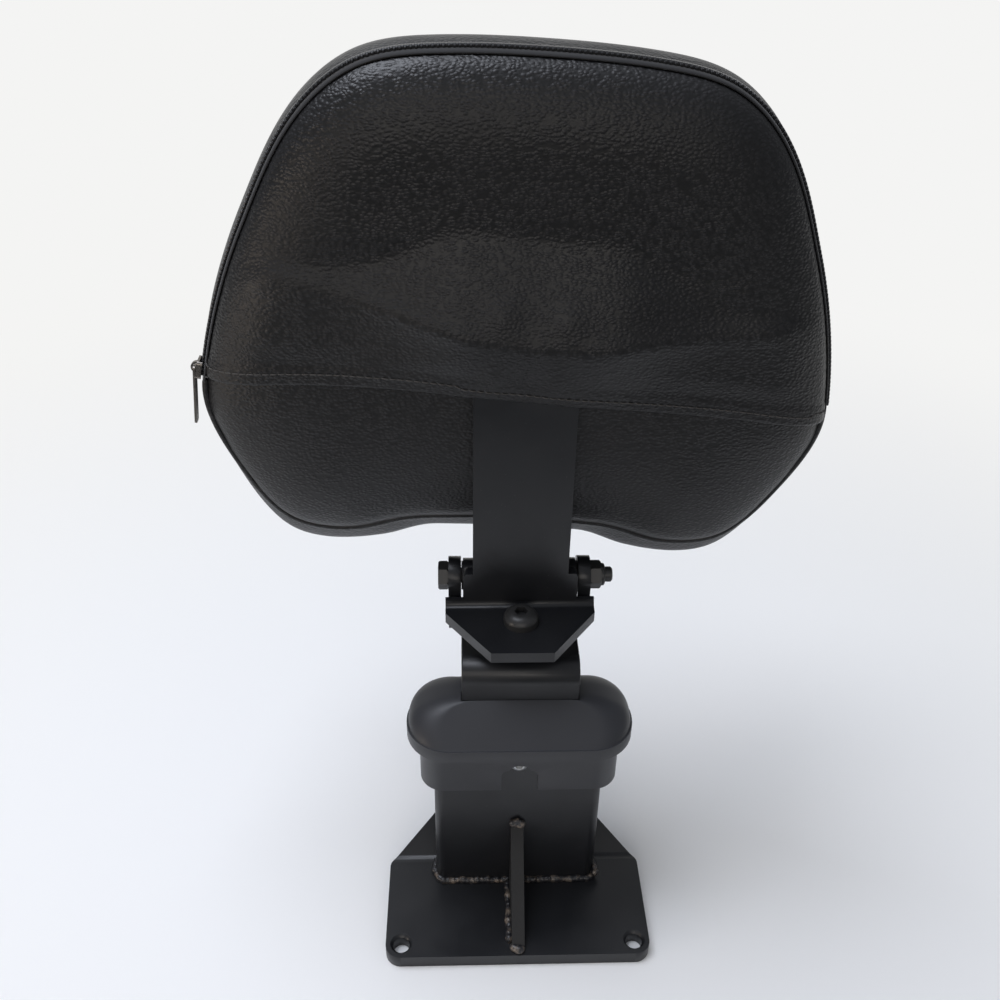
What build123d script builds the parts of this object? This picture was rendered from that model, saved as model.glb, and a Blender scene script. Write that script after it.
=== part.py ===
from build123d import *
import os
from math import asin, cos, radians, sin, sqrt

# A motorcycle driver backrest: a bolt-on base with a flat socket, a mast that slides in it for height,
# a hinge that lets the pad fold forward, and a cushioned pad with a zip-on rear cover.
# Sizes are in millimetres. X points to the right as seen from behind, Y forwards and Z up.
# The origin lies midway between the two base bolt holes, on the underside of the base plate.

# Base plate
plate_width = 144.0
plate_thickness = 8.0
bolt_hole = 9.0
bolt_hole_rim = 12.0
bolt_edge_distance = 8.5
bolt_spacing = plate_width - 2 * bolt_edge_distance
bend_start_y = 53.0
bend_inner_radius = 6.0
tongue_angle = 40.0
tongue_length = 24.0
tongue_side_taper = 33.0
tongue_tip_width = plate_width - 2 * tongue_side_taper

# Socket tube, its gusset and the welds
socket_y = 48.0
tube_width = 90.0
tube_depth = 16.0
tube_wall = 2.5
tube_corner = 5.0
tube_top = 124.0
gusset_thickness = 7.0
gusset_reach = 45.0
gusset_height = 49.0
weld_leg = 4.0
weld_top_bead = 9.0

# Collar on the socket, one moulding with a skirt outside and a guide sleeve inside the tube
skirt_side_room = 7.0
skirt_end_room = 9.0
skirt_width = tube_width + 2 * skirt_side_room
skirt_depth = tube_depth + 2 * skirt_end_room
skirt_corner = 13.0
skirt_drop = 28.0
cap_overhang = 6.5
cap_width = skirt_width + 2 * cap_overhang
cap_depth = skirt_depth + 2 * cap_overhang
cap_below_tube = 2.0
cap_bottom = tube_top - cap_below_tube
cap_rim = 6.0
cap_crown_rise = 24.0
# Steps of the dome as (height above the rim, then inset of the sides, rear and front, then corner radius)
dome_steps = [
    (0.0, 0.0, 0.0, 0.0, 22.5),
    (6.0, 0.5, 4.0, 0.0, 21.0),
    (10.5, 2.5, 8.0, 1.0, 18.5),
    (14.0, 8.5, 12.5, 4.0, 14.5),
    (16.5, 19.5, 16.5, 8.5, 10.5),
    (cap_crown_rise - cap_rim, 36.5, 20.5, 14.5, 5.5),
]
collar_wall = 3.5
sleeve_length = 40.0
sleeve_fit = 0.2
slot_gap = 0.25
notch_width = 19.0
notch_height = 14.5
notch_corner = 4.0

# Height clamp screw in the notch
clamp_thread = 6.0
clamp_head = 10.5
clamp_head_height = 3.3
clamp_socket = 4.0
clamp_z = 106.0
clamp_stand_off = 0.3

# Mast, a flat strip bent forward into a shelf
mast_width = 60.0
mast_thickness = 6.0
mast_bottom = 34.0
mast_bend_inner = 5.0
shelf_over_cap = 14.0
shelf_top = cap_bottom + cap_crown_rise + shelf_over_cap + mast_thickness

# Hinge between the ears
hinge_forward = 42.0
hinge_over_shelf = 25.0
hinge_z = shelf_top + hinge_over_shelf
ear_radius = 10.0
ear_thickness = 6.5
ear_lap = 5.0
ear_bottom = shelf_top - ear_lap
ear_corner = 5.0
ear_weld_leg = 3.0
pin_diameter = 8.0
pin_hex = 13.0
pin_head_height = 5.3
pin_nut_height = 8.0
pin_thread_out = 4.0
barrel_diameter = 18.0
barrel_weld_leg = 4.0
barrel_weld_inner = 1.5
barrel_weld_outer = 7.5
barrel_weld_end = 3.0
bush_diameter = 12.0
bush_length = 14.0
bush_flange = 15.0
bush_flange_thickness = 0.8
side_clearance = 0.2
running_gap = 0.05
tip_gap = 0.05
push_gap = 0.02

# Backrest bar with its rearward tab
bar_width = 48.0
bar_thickness = 6.0
bar_rise = 169.0
bar_top = hinge_z + bar_rise
shoulder_rise = 12.0
shoulder_top = hinge_z + shoulder_rise
shoulder_round = 2.5
tab_below_hinge = 8.0
tab_top = hinge_z - tab_below_hinge
tab_bend_inner = 3.0
tab_wing_width = 76.0
tab_wing_depth = 8.0
tab_wing_clearance = 3.0
tab_length = 36.5
tab_tip_width = 31.0

# Tilt adjuster, a button-head screw through a nut under the tab
tilt_thread = 10.0
tilt_head = 17.5
tilt_head_height = 7.0
tilt_head_rim = 3.2
tilt_socket = 6.0
tilt_socket_depth = 3.5
tilt_nut_hex = 17.0
tilt_nut_height = 8.0
tilt_from_bar = 13.0

# Pad outline as (x, height above the hinge), for its right half from the crown to the lower middle
pad_turn = 3.3
pad_turn_rise = 129.0
pad_middle_rise = 134.0
pad_crown = (0.0, 255.0)
pad_top_points = [(48.0, 253.0), (75.0, 247.0), (95.0, 232.5), (112.5, 207.0)]
pad_side_top = (125.5, 178.0)
pad_side_bottom = (147.0, 101.0)
pad_side_radius = 300.0
pad_low_points = [(143.5, 77.0), (133.5, 56.0), (121.5, 37.0), (107.5, 24.5)]
pad_lobe = (92.0, 20.5)
pad_recess_points = [(74.0, 21.5), (55.0, 27.5), (30.0, 30.5)]
pad_low_middle = (0.0, 32.0)
pad_half_width = 148.0
pad_half_height = 115.0

# Pad build-up from the bar forwards
seam_forward = 19.0
pad_thickness = 74.0
skin = 1.6
board_thickness = 8.0
panel_flat_inset = 50.0
board_inset = 52.5
pad_fit = 0.3
piping_diameter = 4.0
piping_inset = 0.5

# Rear flap and the zip that joins it around the top
flap_clear = 7.5
flap_skin = 1.8
hem_points = [(-160.0, 105.0), (-100.0, 112.0), (-55.0, 114.0), (0.0, 111.5), (82.0, 103.5), (160.0, 92.5)]
zip_end_rise = 102.0
zip_width = 6.0
zip_thickness = 1.8
zip_stand_off = 0.9
zip_setback = 1.5

# Zip slider and its pull
slider_length = 9.0
slider_width = 8.5
slider_plate = 1.0
slider_reach = 1.2
slider_gap = 0.3
slider_up = 6.0
bail_inner = 2.1
pull_rise = 1.3
bail_wire = 0.9
bail_width = 1.6
pull_length = 30.0
pull_width = 5.0
pull_thickness = 1.0
pull_lean = 6.0

# Screws that hold the pad to the bar
fixing_spacing_x = 28.0
fixing_spacing_z = 30.0
fixing_top_margin = 15.0
fixing_thread = 6.0
fixing_head = 10.5
fixing_head_height = 3.3
fixing_socket = 4.0
washer_diameter = 12.5
washer_thickness = 1.2
tee_flange = 19.0
tee_flange_thickness = 1.4
tee_barrel = 8.0
fixing_tip_out = 2.0

# Places worked out from the sizes above
tube_rear_y = socket_y - tube_depth / 2
tube_front_y = socket_y + tube_depth / 2
mast_rear_y = socket_y - mast_thickness / 2
mast_front_y = socket_y + mast_thickness / 2
hinge_y = socket_y + hinge_forward
shelf_front_y = hinge_y + ear_radius
shelf_bottom = shelf_top - mast_thickness
bar_front_y = hinge_y - barrel_diameter / 2
bar_rear_y = bar_front_y - bar_thickness
barrel_length = mast_width - 2 * (bush_flange_thickness + side_clearance)
shoulder_width = mast_width - 2 * (bush_flange_thickness + side_clearance)
tab_bottom = tab_top - bar_thickness
wing_front_y = hinge_y - ear_radius - tab_wing_clearance
tab_end_y = bar_rear_y - tab_length
tilt_y = bar_rear_y - tilt_from_bar
panel_rear_y = bar_front_y
board_rear_y = panel_rear_y + skin + pad_fit
board_front_y = board_rear_y + board_thickness
seam_y = panel_rear_y + seam_forward
pad_turn_z = hinge_z + pad_turn_rise
pad_middle_z = hinge_z + pad_middle_rise
pad_top_z = hinge_z + pad_crown[1]
zip_end_z = hinge_z + zip_end_rise
pad_front_y = panel_rear_y + pad_thickness
skirt_bottom = cap_bottom - skirt_drop
sleeve_bottom = tube_top - sleeve_length


def rounded_prism(width, depth, corner, low, high):
    """Upright prism on the socket's centre, with rounded corners."""
    outline = Pos(0, socket_y, low) * RectangleRounded(width, depth, corner)
    return extrude(outline, amount=high - low)


def side_prism(points, width, middle=0.0):
    """Prism along X from an outline of (y, z) points, centred on middle."""
    plane = Plane(origin=(middle - width / 2, 0, 0), x_dir=(0, 1, 0), z_dir=(1, 0, 0))
    return extrude(plane * make_face(Polyline(*points, close=True)), amount=width)


def cross_rod(diameter, start_x, end_x, y, z):
    """Round rod along X."""
    plane = Plane(origin=(start_x, y, z), x_dir=(0, 1, 0), z_dir=(1, 0, 0))
    return extrude(plane * Circle(diameter / 2), amount=end_x - start_x)


def cross_hex(across, start_x, end_x, y, z):
    """Hexagonal prism along X with turned-down corners."""
    plane = Plane(origin=(start_x, y, z), x_dir=(0, 1, 0), z_dir=(1, 0, 0))
    prism = extrude(plane * RegularPolygon(across / 2, 6, major_radius=False), amount=end_x - start_x)
    corner = across / sqrt(3)
    turned = cross_rod(2 * corner, start_x, end_x, y, z)
    turned = chamfer(turned.edges().filter_by(GeomType.CIRCLE), 0.75 * (corner - across / 2))
    return prism & turned


def rear_rod(diameter, start_y, end_y, x, z):
    """Round rod along Y."""
    plane = Plane(origin=(x, start_y, z), x_dir=(1, 0, 0), z_dir=(0, 1, 0))
    return extrude(plane * Circle(diameter / 2), amount=end_y - start_y)


def button_screw(thread, head, head_height, length, socket, socket_depth, rim=0.5):
    """Button-head screw standing on Z, its head seated at zero and its shank below."""
    flat = 0.22 * head
    bulge = (flat + 0.66 * (head / 2 - flat), rim + 0.67 * (head_height - rim))
    profile = [
        Line((0, -length), (thread / 2 - 0.6, -length)),
        Line((thread / 2 - 0.6, -length), (thread / 2, -length + 0.6)),
        Line((thread / 2, -length + 0.6), (thread / 2, 0)),
        Line((thread / 2, 0), (head / 2, 0)),
        Line((head / 2, 0), (head / 2, rim)),
        ThreePointArc((head / 2, rim), bulge, (flat, head_height)),
        Line((flat, head_height), (0, head_height)),
        Line((0, head_height), (0, -length)),
    ]
    screw = revolve(Plane.XZ * make_face(profile), axis=Axis.Z)
    key = Pos(0, 0, head_height - socket_depth) * RegularPolygon(socket / 2, 6, major_radius=False)
    return screw - extrude(key, amount=socket_depth)


def base_plate():
    """Folded steel plate: a flat foot with two bolt holes and a tapered tongue bent up in front."""
    rear_y = -bolt_edge_distance
    turn = radians(tongue_angle)
    outer = bend_inner_radius + plate_thickness
    centre_z = plate_thickness + bend_inner_radius
    lower_end = (bend_start_y + outer * sin(turn), centre_z - outer * cos(turn))
    upper_end = (bend_start_y + bend_inner_radius * sin(turn), centre_z - bend_inner_radius * cos(turn))
    along = (tongue_length * cos(turn), tongue_length * sin(turn))
    lower_tip = (lower_end[0] + along[0], lower_end[1] + along[1])
    upper_tip = (upper_end[0] + along[0], upper_end[1] + along[1])
    lower_mid = (bend_start_y + outer * sin(turn / 2), centre_z - outer * cos(turn / 2))
    upper_mid = (
        bend_start_y + bend_inner_radius * sin(turn / 2),
        centre_z - bend_inner_radius * cos(turn / 2),
    )
    profile = make_face([
        Line((rear_y, 0), (bend_start_y, 0)),
        ThreePointArc((bend_start_y, 0), lower_mid, lower_end),
        Line(lower_end, lower_tip),
        Line(lower_tip, upper_tip),
        Line(upper_tip, upper_end),
        ThreePointArc(upper_end, upper_mid, (bend_start_y, plate_thickness)),
        Line((bend_start_y, plate_thickness), (rear_y, plate_thickness)),
        Line((rear_y, plate_thickness), (rear_y, 0)),
    ])
    plane = Plane(origin=(-plate_width / 2, 0, 0), x_dir=(0, 1, 0), z_dir=(1, 0, 0))
    folded = extrude(plane * profile, amount=plate_width)
    outline = make_face(Polyline(
        (-plate_width / 2, rear_y),
        (plate_width / 2, rear_y),
        (plate_width / 2, bend_start_y),
        (tongue_tip_width / 2, lower_tip[0] + 1),
        (-tongue_tip_width / 2, lower_tip[0] + 1),
        (-plate_width / 2, bend_start_y),
        close=True,
    ))
    trimmed = folded & extrude(outline, amount=lower_tip[1] + plate_thickness)
    rear_corners = trimmed.edges().filter_by(Axis.Z).group_by(Axis.Y)[0]
    plate = fillet(rear_corners, bolt_edge_distance)
    plate = fillet(plate.edges().filter_by(Axis.Z).group_by(Axis.Y)[-1], 6.0)
    rim_cut = (bolt_hole_rim - bolt_hole) / 2
    for side in (-1, 1):
        place = Pos(side * bolt_spacing / 2, 0, 0)
        plate -= place * Cylinder(bolt_hole / 2, 3 * plate_thickness)
        cone = Cone(bolt_hole / 2, bolt_hole_rim / 2, rim_cut, align=(Align.CENTER, Align.CENTER, Align.MAX))
        plate -= Pos(0, 0, plate_thickness) * place * cone
    return plate


def tube_outer(low, high):
    """Outer envelope of the socket tube between two heights."""
    return rounded_prism(tube_width, tube_depth, tube_corner, low, high)


def socket_tube(plate):
    """Flat tube that stands on the plate, coped to the start of the bend."""
    bore = rounded_prism(
        tube_width - 2 * tube_wall, tube_depth - 2 * tube_wall, tube_corner - tube_wall, 0, tube_top + 1
    )
    clamp_hole = rear_rod(clamp_thread + 0.5, tube_rear_y - 1, socket_y, 0, clamp_z)
    return tube_outer(plate_thickness, tube_top) - bore - plate - clamp_hole


def gusset_rib():
    """Triangular rib between the plate and the rear of the tube."""
    toe = 2.0
    points = [
        (tube_rear_y, plate_thickness),
        (tube_rear_y - gusset_reach, plate_thickness),
        (tube_rear_y - gusset_reach, plate_thickness + toe),
        (tube_rear_y - toe, plate_thickness + gusset_height),
        (tube_rear_y, plate_thickness + gusset_height),
    ]
    return side_prism(points, gusset_thickness)


def socket_weld(plate, tube, rib):
    """Fillet bead around the foot of the tube."""
    foot = Pos(0, socket_y, plate_thickness - 1) * RectangleRounded(
        tube_width + 2 * weld_leg + 2, tube_depth + 2 * weld_leg + 2, tube_corner + weld_leg
    )
    bead = extrude(foot, amount=weld_leg + 1, taper=45)
    return bead - tube_outer(0, tube_top) - plate - rib


def gusset_weld(foot_bead):
    """Beads of the rib: a lump at its top, a run along its left foot and a lump at its toe."""
    side = gusset_thickness / 2
    run_start = tube_rear_y - gusset_reach + 6
    run_end = tube_rear_y - weld_leg - 2
    run = Plane(origin=(0, run_start, 0), x_dir=(-1, 0, 0), z_dir=(0, 1, 0)) * make_face(Polyline(
        (side, plate_thickness), (side + weld_leg, plate_thickness), (side, plate_thickness + weld_leg),
        close=True,
    ))
    foot_run = extrude(run, amount=run_end - run_start)
    top = Pos(0, tube_rear_y, plate_thickness + gusset_height) * Sphere(weld_top_bead / 2)
    top = top & Pos(0, tube_rear_y - weld_top_bead / 2, plate_thickness + gusset_height) * Box(
        weld_top_bead, weld_top_bead, weld_top_bead
    )
    toe = Pos(0, tube_rear_y - gusset_reach, plate_thickness) * Sphere(weld_leg)
    toe = toe & Pos(0, tube_rear_y - gusset_reach, plate_thickness + weld_leg) * Box(20, 20, 2 * weld_leg)
    rib = gusset_rib()
    return Compound(children=[foot_run - foot_bead, top - rib, toe - rib])


def dome_outline(step):
    """Rounded outline of the collar's dome at one of its steps."""
    rise, side_in, rear_in, front_in, corner = step
    middle = socket_y + (rear_in - front_in) / 2
    place = Pos(0, middle, cap_bottom + cap_rim + rise)
    return place * RectangleRounded(cap_width - 2 * side_in, cap_depth - rear_in - front_in, corner)


def cap_dome():
    """Crowned top of the collar on its upright rim."""
    rim = rounded_prism(cap_width, cap_depth, dome_steps[0][4], cap_bottom, cap_bottom + cap_rim)
    return rim + loft([dome_outline(step) for step in dome_steps])


def mast_slot(low, high):
    """Opening that the mast slides in."""
    return rounded_prism(mast_width + 2 * slot_gap, mast_thickness + 2 * slot_gap, 0.4, low, high)


def top_collar():
    """Moulded collar: crowned cap, skirt around the tube and guide sleeve inside it."""
    dome = cap_dome()
    skirt = rounded_prism(skirt_width, skirt_depth, skirt_corner, skirt_bottom, cap_bottom + 1)
    cavity = rounded_prism(
        skirt_width - 2 * collar_wall, skirt_depth - 2 * collar_wall, skirt_corner - collar_wall,
        skirt_bottom - 1, tube_top + 4,
    )
    tower = rounded_prism(tube_width, tube_depth, tube_corner, tube_top, tube_top + 5)
    sleeve = rounded_prism(
        tube_width - 2 * tube_wall - 2 * sleeve_fit,
        tube_depth - 2 * tube_wall - 2 * sleeve_fit,
        tube_corner - tube_wall,
        sleeve_bottom,
        tube_top + 1,
    )
    body = (dome + skirt) - cavity + tower + sleeve
    body -= mast_slot(sleeve_bottom - 1, cap_bottom + cap_crown_rise + 5)
    rear_plane = Plane(origin=(0, socket_y, skirt_bottom), x_dir=(1, 0, 0), z_dir=(0, -1, 0))
    notch = extrude(rear_plane * RectangleRounded(notch_width, 2 * notch_height, notch_corner), amount=cap_depth)
    notch = notch & Pos(0, tube_rear_y - skirt_depth / 2, skirt_bottom) * Box(
        2 * notch_width, skirt_depth, 2 * notch_height + 2
    )
    clamp_hole = rear_rod(clamp_thread + 0.5, tube_rear_y, socket_y, 0, clamp_z)
    return body - notch - clamp_hole


def clamp_screw():
    """Button-head screw that clamps the mast through the rear wall of the tube."""
    head_seat_y = tube_rear_y - clamp_stand_off
    length = mast_rear_y - tip_gap - head_seat_y
    screw = button_screw(clamp_thread, clamp_head, clamp_head_height, length, clamp_socket, 2.0)
    return Pos(0, head_seat_y, clamp_z) * Rot(90, 0, 0) * screw


def mast_strip():
    """Steel strip: an upright leg in the socket, bent forward into the shelf that carries the hinge."""
    inner = mast_bend_inner
    outer = inner + mast_thickness
    centre = (mast_front_y + inner, shelf_bottom - inner)
    lean = sin(radians(45))
    profile = make_face([
        Line((mast_rear_y, mast_bottom), (mast_rear_y, centre[1])),
        ThreePointArc(
            (mast_rear_y, centre[1]),
            (centre[0] - outer * lean, centre[1] + outer * lean),
            (centre[0], shelf_top),
        ),
        Line((centre[0], shelf_top), (shelf_front_y, shelf_top)),
        Line((shelf_front_y, shelf_top), (shelf_front_y, shelf_bottom)),
        Line((shelf_front_y, shelf_bottom), (centre[0], shelf_bottom)),
        ThreePointArc(
            (centre[0], shelf_bottom),
            (centre[0] - inner * lean, centre[1] + inner * lean),
            (mast_front_y, centre[1]),
        ),
        Line((mast_front_y, centre[1]), (mast_front_y, mast_bottom)),
        Line((mast_front_y, mast_bottom), (mast_rear_y, mast_bottom)),
    ])
    plane = Plane(origin=(-mast_width / 2, 0, 0), x_dir=(0, 1, 0), z_dir=(1, 0, 0))
    strip = extrude(plane * profile, amount=mast_width)
    foot_corners = strip.edges().filter_by(Axis.Y).group_by(Axis.Z)[0]
    return chamfer(foot_corners, 3.0)


def hinge_ear(side):
    """Upright ear welded to one edge of the shelf, rounded about the hinge pin."""
    start_x = side * mast_width / 2 if side > 0 else -mast_width / 2 - ear_thickness
    end_x = start_x + ear_thickness
    eye = cross_rod(2 * ear_radius, start_x, end_x, hinge_y, hinge_z)
    leg = side_prism(
        [
            (hinge_y - ear_radius, ear_bottom),
            (hinge_y + ear_radius, ear_bottom),
            (hinge_y + ear_radius, hinge_z),
            (hinge_y - ear_radius, hinge_z),
        ],
        ear_thickness,
        (start_x + end_x) / 2,
    )
    leg = fillet(leg.edges().filter_by(Axis.X).group_by(Axis.Z)[0], ear_corner)
    hole = cross_rod(pin_diameter + 2 * running_gap, start_x - 1, end_x + 1, hinge_y, hinge_z)
    return eye + leg - hole


def ear_welds():
    """Fillet beads in the inner corners between the shelf and the ears."""
    beads = []
    start_y = hinge_y - ear_radius + 1
    for side in (-1, 1):
        edge = side * mast_width / 2
        plane = Plane(origin=(edge, start_y, shelf_top), x_dir=(-side, 0, 0), z_dir=(0, side, 0))
        corner = Polyline((0, 0), (ear_weld_leg, 0), (0, ear_weld_leg), close=True)
        run = extrude(plane * make_face(corner), amount=side * (2 * ear_radius - 2))
        beads.append(run)
    return Compound(children=beads)


def hinge_pin():
    """Hexagon-head bolt that is the hinge pin."""
    outer = mast_width / 2 + ear_thickness
    head = cross_hex(pin_hex, -outer - pin_head_height, -outer, hinge_y, hinge_z)
    end = outer + pin_nut_height + pin_thread_out
    shank = cross_rod(pin_diameter, -outer, end, hinge_y, hinge_z)
    shank = chamfer(shank.edges().filter_by(GeomType.CIRCLE).sort_by(Axis.X)[-1], 0.8)
    return head + shank


def hinge_nut():
    """Lock nut on the end of the hinge pin, with a domed collar outside its hexagon."""
    start = mast_width / 2 + ear_thickness
    collar = 2.0
    body = cross_hex(pin_hex, start, start + pin_nut_height - collar, hinge_y, hinge_z)
    ring = cross_rod(pin_hex - 1.2, start, start + pin_nut_height, hinge_y, hinge_z)
    ring = fillet(ring.edges().filter_by(GeomType.CIRCLE).sort_by(Axis.X)[-1], 1.0)
    bore = cross_rod(pin_diameter + 2 * push_gap, start - 1, start + pin_nut_height + 1, hinge_y, hinge_z)
    return body + ring - bore


def hinge_barrel():
    """Tube across the front of the bar that turns on the hinge pin."""
    half = barrel_length / 2
    outer = cross_rod(barrel_diameter, -half, half, hinge_y, hinge_z)
    return outer - cross_rod(bush_diameter, -half - 1, half + 1, hinge_y, hinge_z)


def hinge_bushes():
    """Flanged bushes pushed into both ends of the barrel."""
    bushes = []
    half = barrel_length / 2
    for side in (-1, 1):
        inner, face, rim = side * (half - bush_length), side * half, side * (half + bush_flange_thickness)
        sleeve = cross_rod(bush_diameter - 2 * push_gap, min(inner, face), max(inner, face), hinge_y, hinge_z)
        flange = cross_rod(bush_flange, min(face, rim), max(face, rim), hinge_y, hinge_z)
        bore = cross_rod(pin_diameter + 2 * running_gap, -half - 5, half + 5, hinge_y, hinge_z)
        bushes.append(sleeve + flange - bore)
    return Compound(children=bushes)


def barrel_weld():
    """Beads above and below the line where the barrel touches the bar."""
    length = barrel_length - 2 * barrel_weld_end
    barrel = cross_rod(barrel_diameter, -barrel_length, barrel_length, hinge_y, hinge_z)
    beads = []
    for way in (-1, 1):
        near, far = hinge_z + way * barrel_weld_inner, hinge_z + way * barrel_weld_outer
        wedge = side_prism(
            [
                (bar_front_y, near),
                (bar_front_y + barrel_weld_leg, near),
                (bar_front_y + barrel_weld_leg / 2, far),
                (bar_front_y, far),
            ],
            length,
        )
        beads.append(wedge - barrel)
    return Compound(children=beads)


def backrest_bar():
    """Steel bar: upright behind the pad, with shoulders in the hinge and a tapered tab bent rearward."""
    inner = tab_bend_inner
    outer = inner + bar_thickness
    centre = (bar_rear_y - inner, tab_top + inner)
    lean = sin(radians(45))
    profile = make_face([
        Line((bar_front_y, bar_top), (bar_front_y, centre[1])),
        ThreePointArc(
            (bar_front_y, centre[1]),
            (centre[0] + outer * lean, centre[1] - outer * lean),
            (centre[0], tab_bottom),
        ),
        Line((centre[0], tab_bottom), (tab_end_y, tab_bottom)),
        Line((tab_end_y, tab_bottom), (tab_end_y, tab_top)),
        Line((tab_end_y, tab_top), (centre[0], tab_top)),
        ThreePointArc(
            (centre[0], tab_top),
            (centre[0] + inner * lean, centre[1] - inner * lean),
            (bar_rear_y, centre[1]),
        ),
        Line((bar_rear_y, centre[1]), (bar_rear_y, bar_top)),
        Line((bar_rear_y, bar_top), (bar_front_y, bar_top)),
    ])
    plane = Plane(origin=(-tab_wing_width / 2, 0, 0), x_dir=(0, 1, 0), z_dir=(1, 0, 0))
    folded = extrude(plane * profile, amount=tab_wing_width)
    wing, shoulder, tip = tab_wing_width / 2, shoulder_width / 2, tab_tip_width / 2
    wing_rear_y = wing_front_y - tab_wing_depth
    plan = make_face(Polyline(
        (-shoulder, bar_front_y + 1), (shoulder, bar_front_y + 1), (shoulder, wing_front_y),
        (wing, wing_front_y), (wing, wing_rear_y), (tip, tab_end_y), (-tip, tab_end_y),
        (-wing, wing_rear_y), (-wing, wing_front_y), (-shoulder, wing_front_y),
        close=True,
    ))
    bar = folded & extrude(plan, amount=bar_top + 1)
    front = Plane(origin=(0, bar_front_y + 1, 0), x_dir=(1, 0, 0), z_dir=(0, -1, 0))
    half = bar_width / 2
    wing_top = tab_top + inner + 1
    view = make_face(Polyline(
        (-wing, tab_bottom - 1), (wing, tab_bottom - 1), (wing, wing_top), (shoulder, wing_top),
        (shoulder, shoulder_top), (half, shoulder_top), (half, bar_top), (-half, bar_top),
        (-half, shoulder_top), (-shoulder, shoulder_top), (-shoulder, wing_top), (-wing, wing_top),
        close=True,
    ))
    bar = bar & extrude(front * view, amount=200)
    shoulders = [
        edge for edge in bar.edges().filter_by(Axis.Y)
        if abs(edge.center().Z - shoulder_top) < 0.1 and abs(abs(edge.center().X) - shoulder) < 0.1
    ]
    bar = fillet(shoulders, shoulder_round)
    bar -= Pos(0, tilt_y, tab_bottom) * Cylinder(tilt_thread / 2 + 0.25, 4 * bar_thickness)
    for x, z in fixing_places():
        bar -= rear_rod(fixing_thread + 0.6, bar_rear_y - 1, bar_front_y + 1, x, z)
    return bar


def fixing_places():
    """Places (x, z) of the screws that hold the pad."""
    top = bar_top - fixing_top_margin
    return [(side * fixing_spacing_x / 2, z) for z in (top, top - fixing_spacing_z) for side in (-1, 1)]


def tilt_nut():
    """Nut welded under the tab."""
    prism = extrude(RegularPolygon(tilt_nut_hex / 2, 6, major_radius=False), amount=-tilt_nut_height)
    prism -= Cylinder(tilt_thread / 2 + running_gap, 4 * tilt_nut_height)
    return Pos(0, tilt_y, tab_bottom) * prism


def tilt_screw():
    """Button-head screw that stands on the shelf and sets the pad's tilt."""
    length = tab_top - shelf_top - tip_gap
    screw = button_screw(
        tilt_thread, tilt_head, tilt_head_height, length, tilt_socket, tilt_socket_depth, tilt_head_rim
    )
    return Pos(0, tilt_y, tab_top) * screw


def turned(shape):
    """Turns a shape from the pad's own upright place to its place on the bar."""
    return shape.rotate(Axis((0, 0, pad_turn_z), (0, 1, 0)), pad_turn)


def side_centre():
    """Centre (x, height above the hinge) of the arc that forms the right side of the pad."""
    (top_x, top_z), (low_x, low_z) = pad_side_top, pad_side_bottom
    chord = sqrt((low_x - top_x) ** 2 + (low_z - top_z) ** 2)
    rise = sqrt(pad_side_radius ** 2 - (chord / 2) ** 2)
    across = ((low_z - top_z) / chord, -(low_x - top_x) / chord)
    return (top_x + low_x) / 2 + rise * across[0], (top_z + low_z) / 2 + rise * across[1]


def side_point(turn):
    """Point (x, height above the hinge) on the right side's arc, at a turn in radians from its level."""
    centre = side_centre()
    return centre[0] + pad_side_radius * cos(turn), centre[1] + pad_side_radius * sin(turn)


def pad_wire(y, inset=0.0, top_drop=0.0, low_drop=0.0, fill=0.0):
    """Closed outline of the pad at one depth.

    It is drawn in by inset, its upper half is lowered by top_drop and its lower half by low_drop, and the
    recess between its lobes is filled up by the share fill.
    """
    wide = 1 - inset / pad_half_width
    tall = 1 - inset / pad_half_height
    centre = side_centre()
    turns = [asin((point[1] - centre[1]) / pad_side_radius) for point in (pad_side_top, pad_side_bottom)]
    middle = side_point(sum(turns) / 2)

    def half(side):
        def place(point):
            above = point[1] - pad_middle_rise
            up = max(0.0, above) / (pad_crown[1] - pad_middle_rise)
            down = max(0.0, -above) / (pad_middle_rise - pad_lobe[1])
            height = above * tall - top_drop * up - low_drop * down
            return (side * point[0] * wide, y, pad_middle_z + height)

        def filled(point):
            return point[0], point[1] - fill * (point[1] - pad_lobe[1])

        flank = ThreePointArc(place(pad_side_top), place(middle), place(pad_side_bottom))
        upper = [place(point) for point in [pad_crown] + pad_top_points + [pad_side_top]]
        recess = [filled(point) for point in pad_recess_points + [pad_low_middle]]
        lower = [place(point) for point in [pad_side_bottom] + pad_low_points + [pad_lobe] + recess]
        return [
            Spline(*upper, tangents=[(side, 0, 0), flank % 0]),
            flank,
            Spline(*lower, tangents=[flank % 1, (-side, 0, 0)]),
        ]

    return Wire(half(1) + half(-1)[::-1])


def pad_layers(sections):
    """Solid through pad outlines, each given by what pad_wire takes."""
    faces = [Face(pad_wire(*section)) for section in sections]
    return loft(faces, ruled=True)


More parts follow.
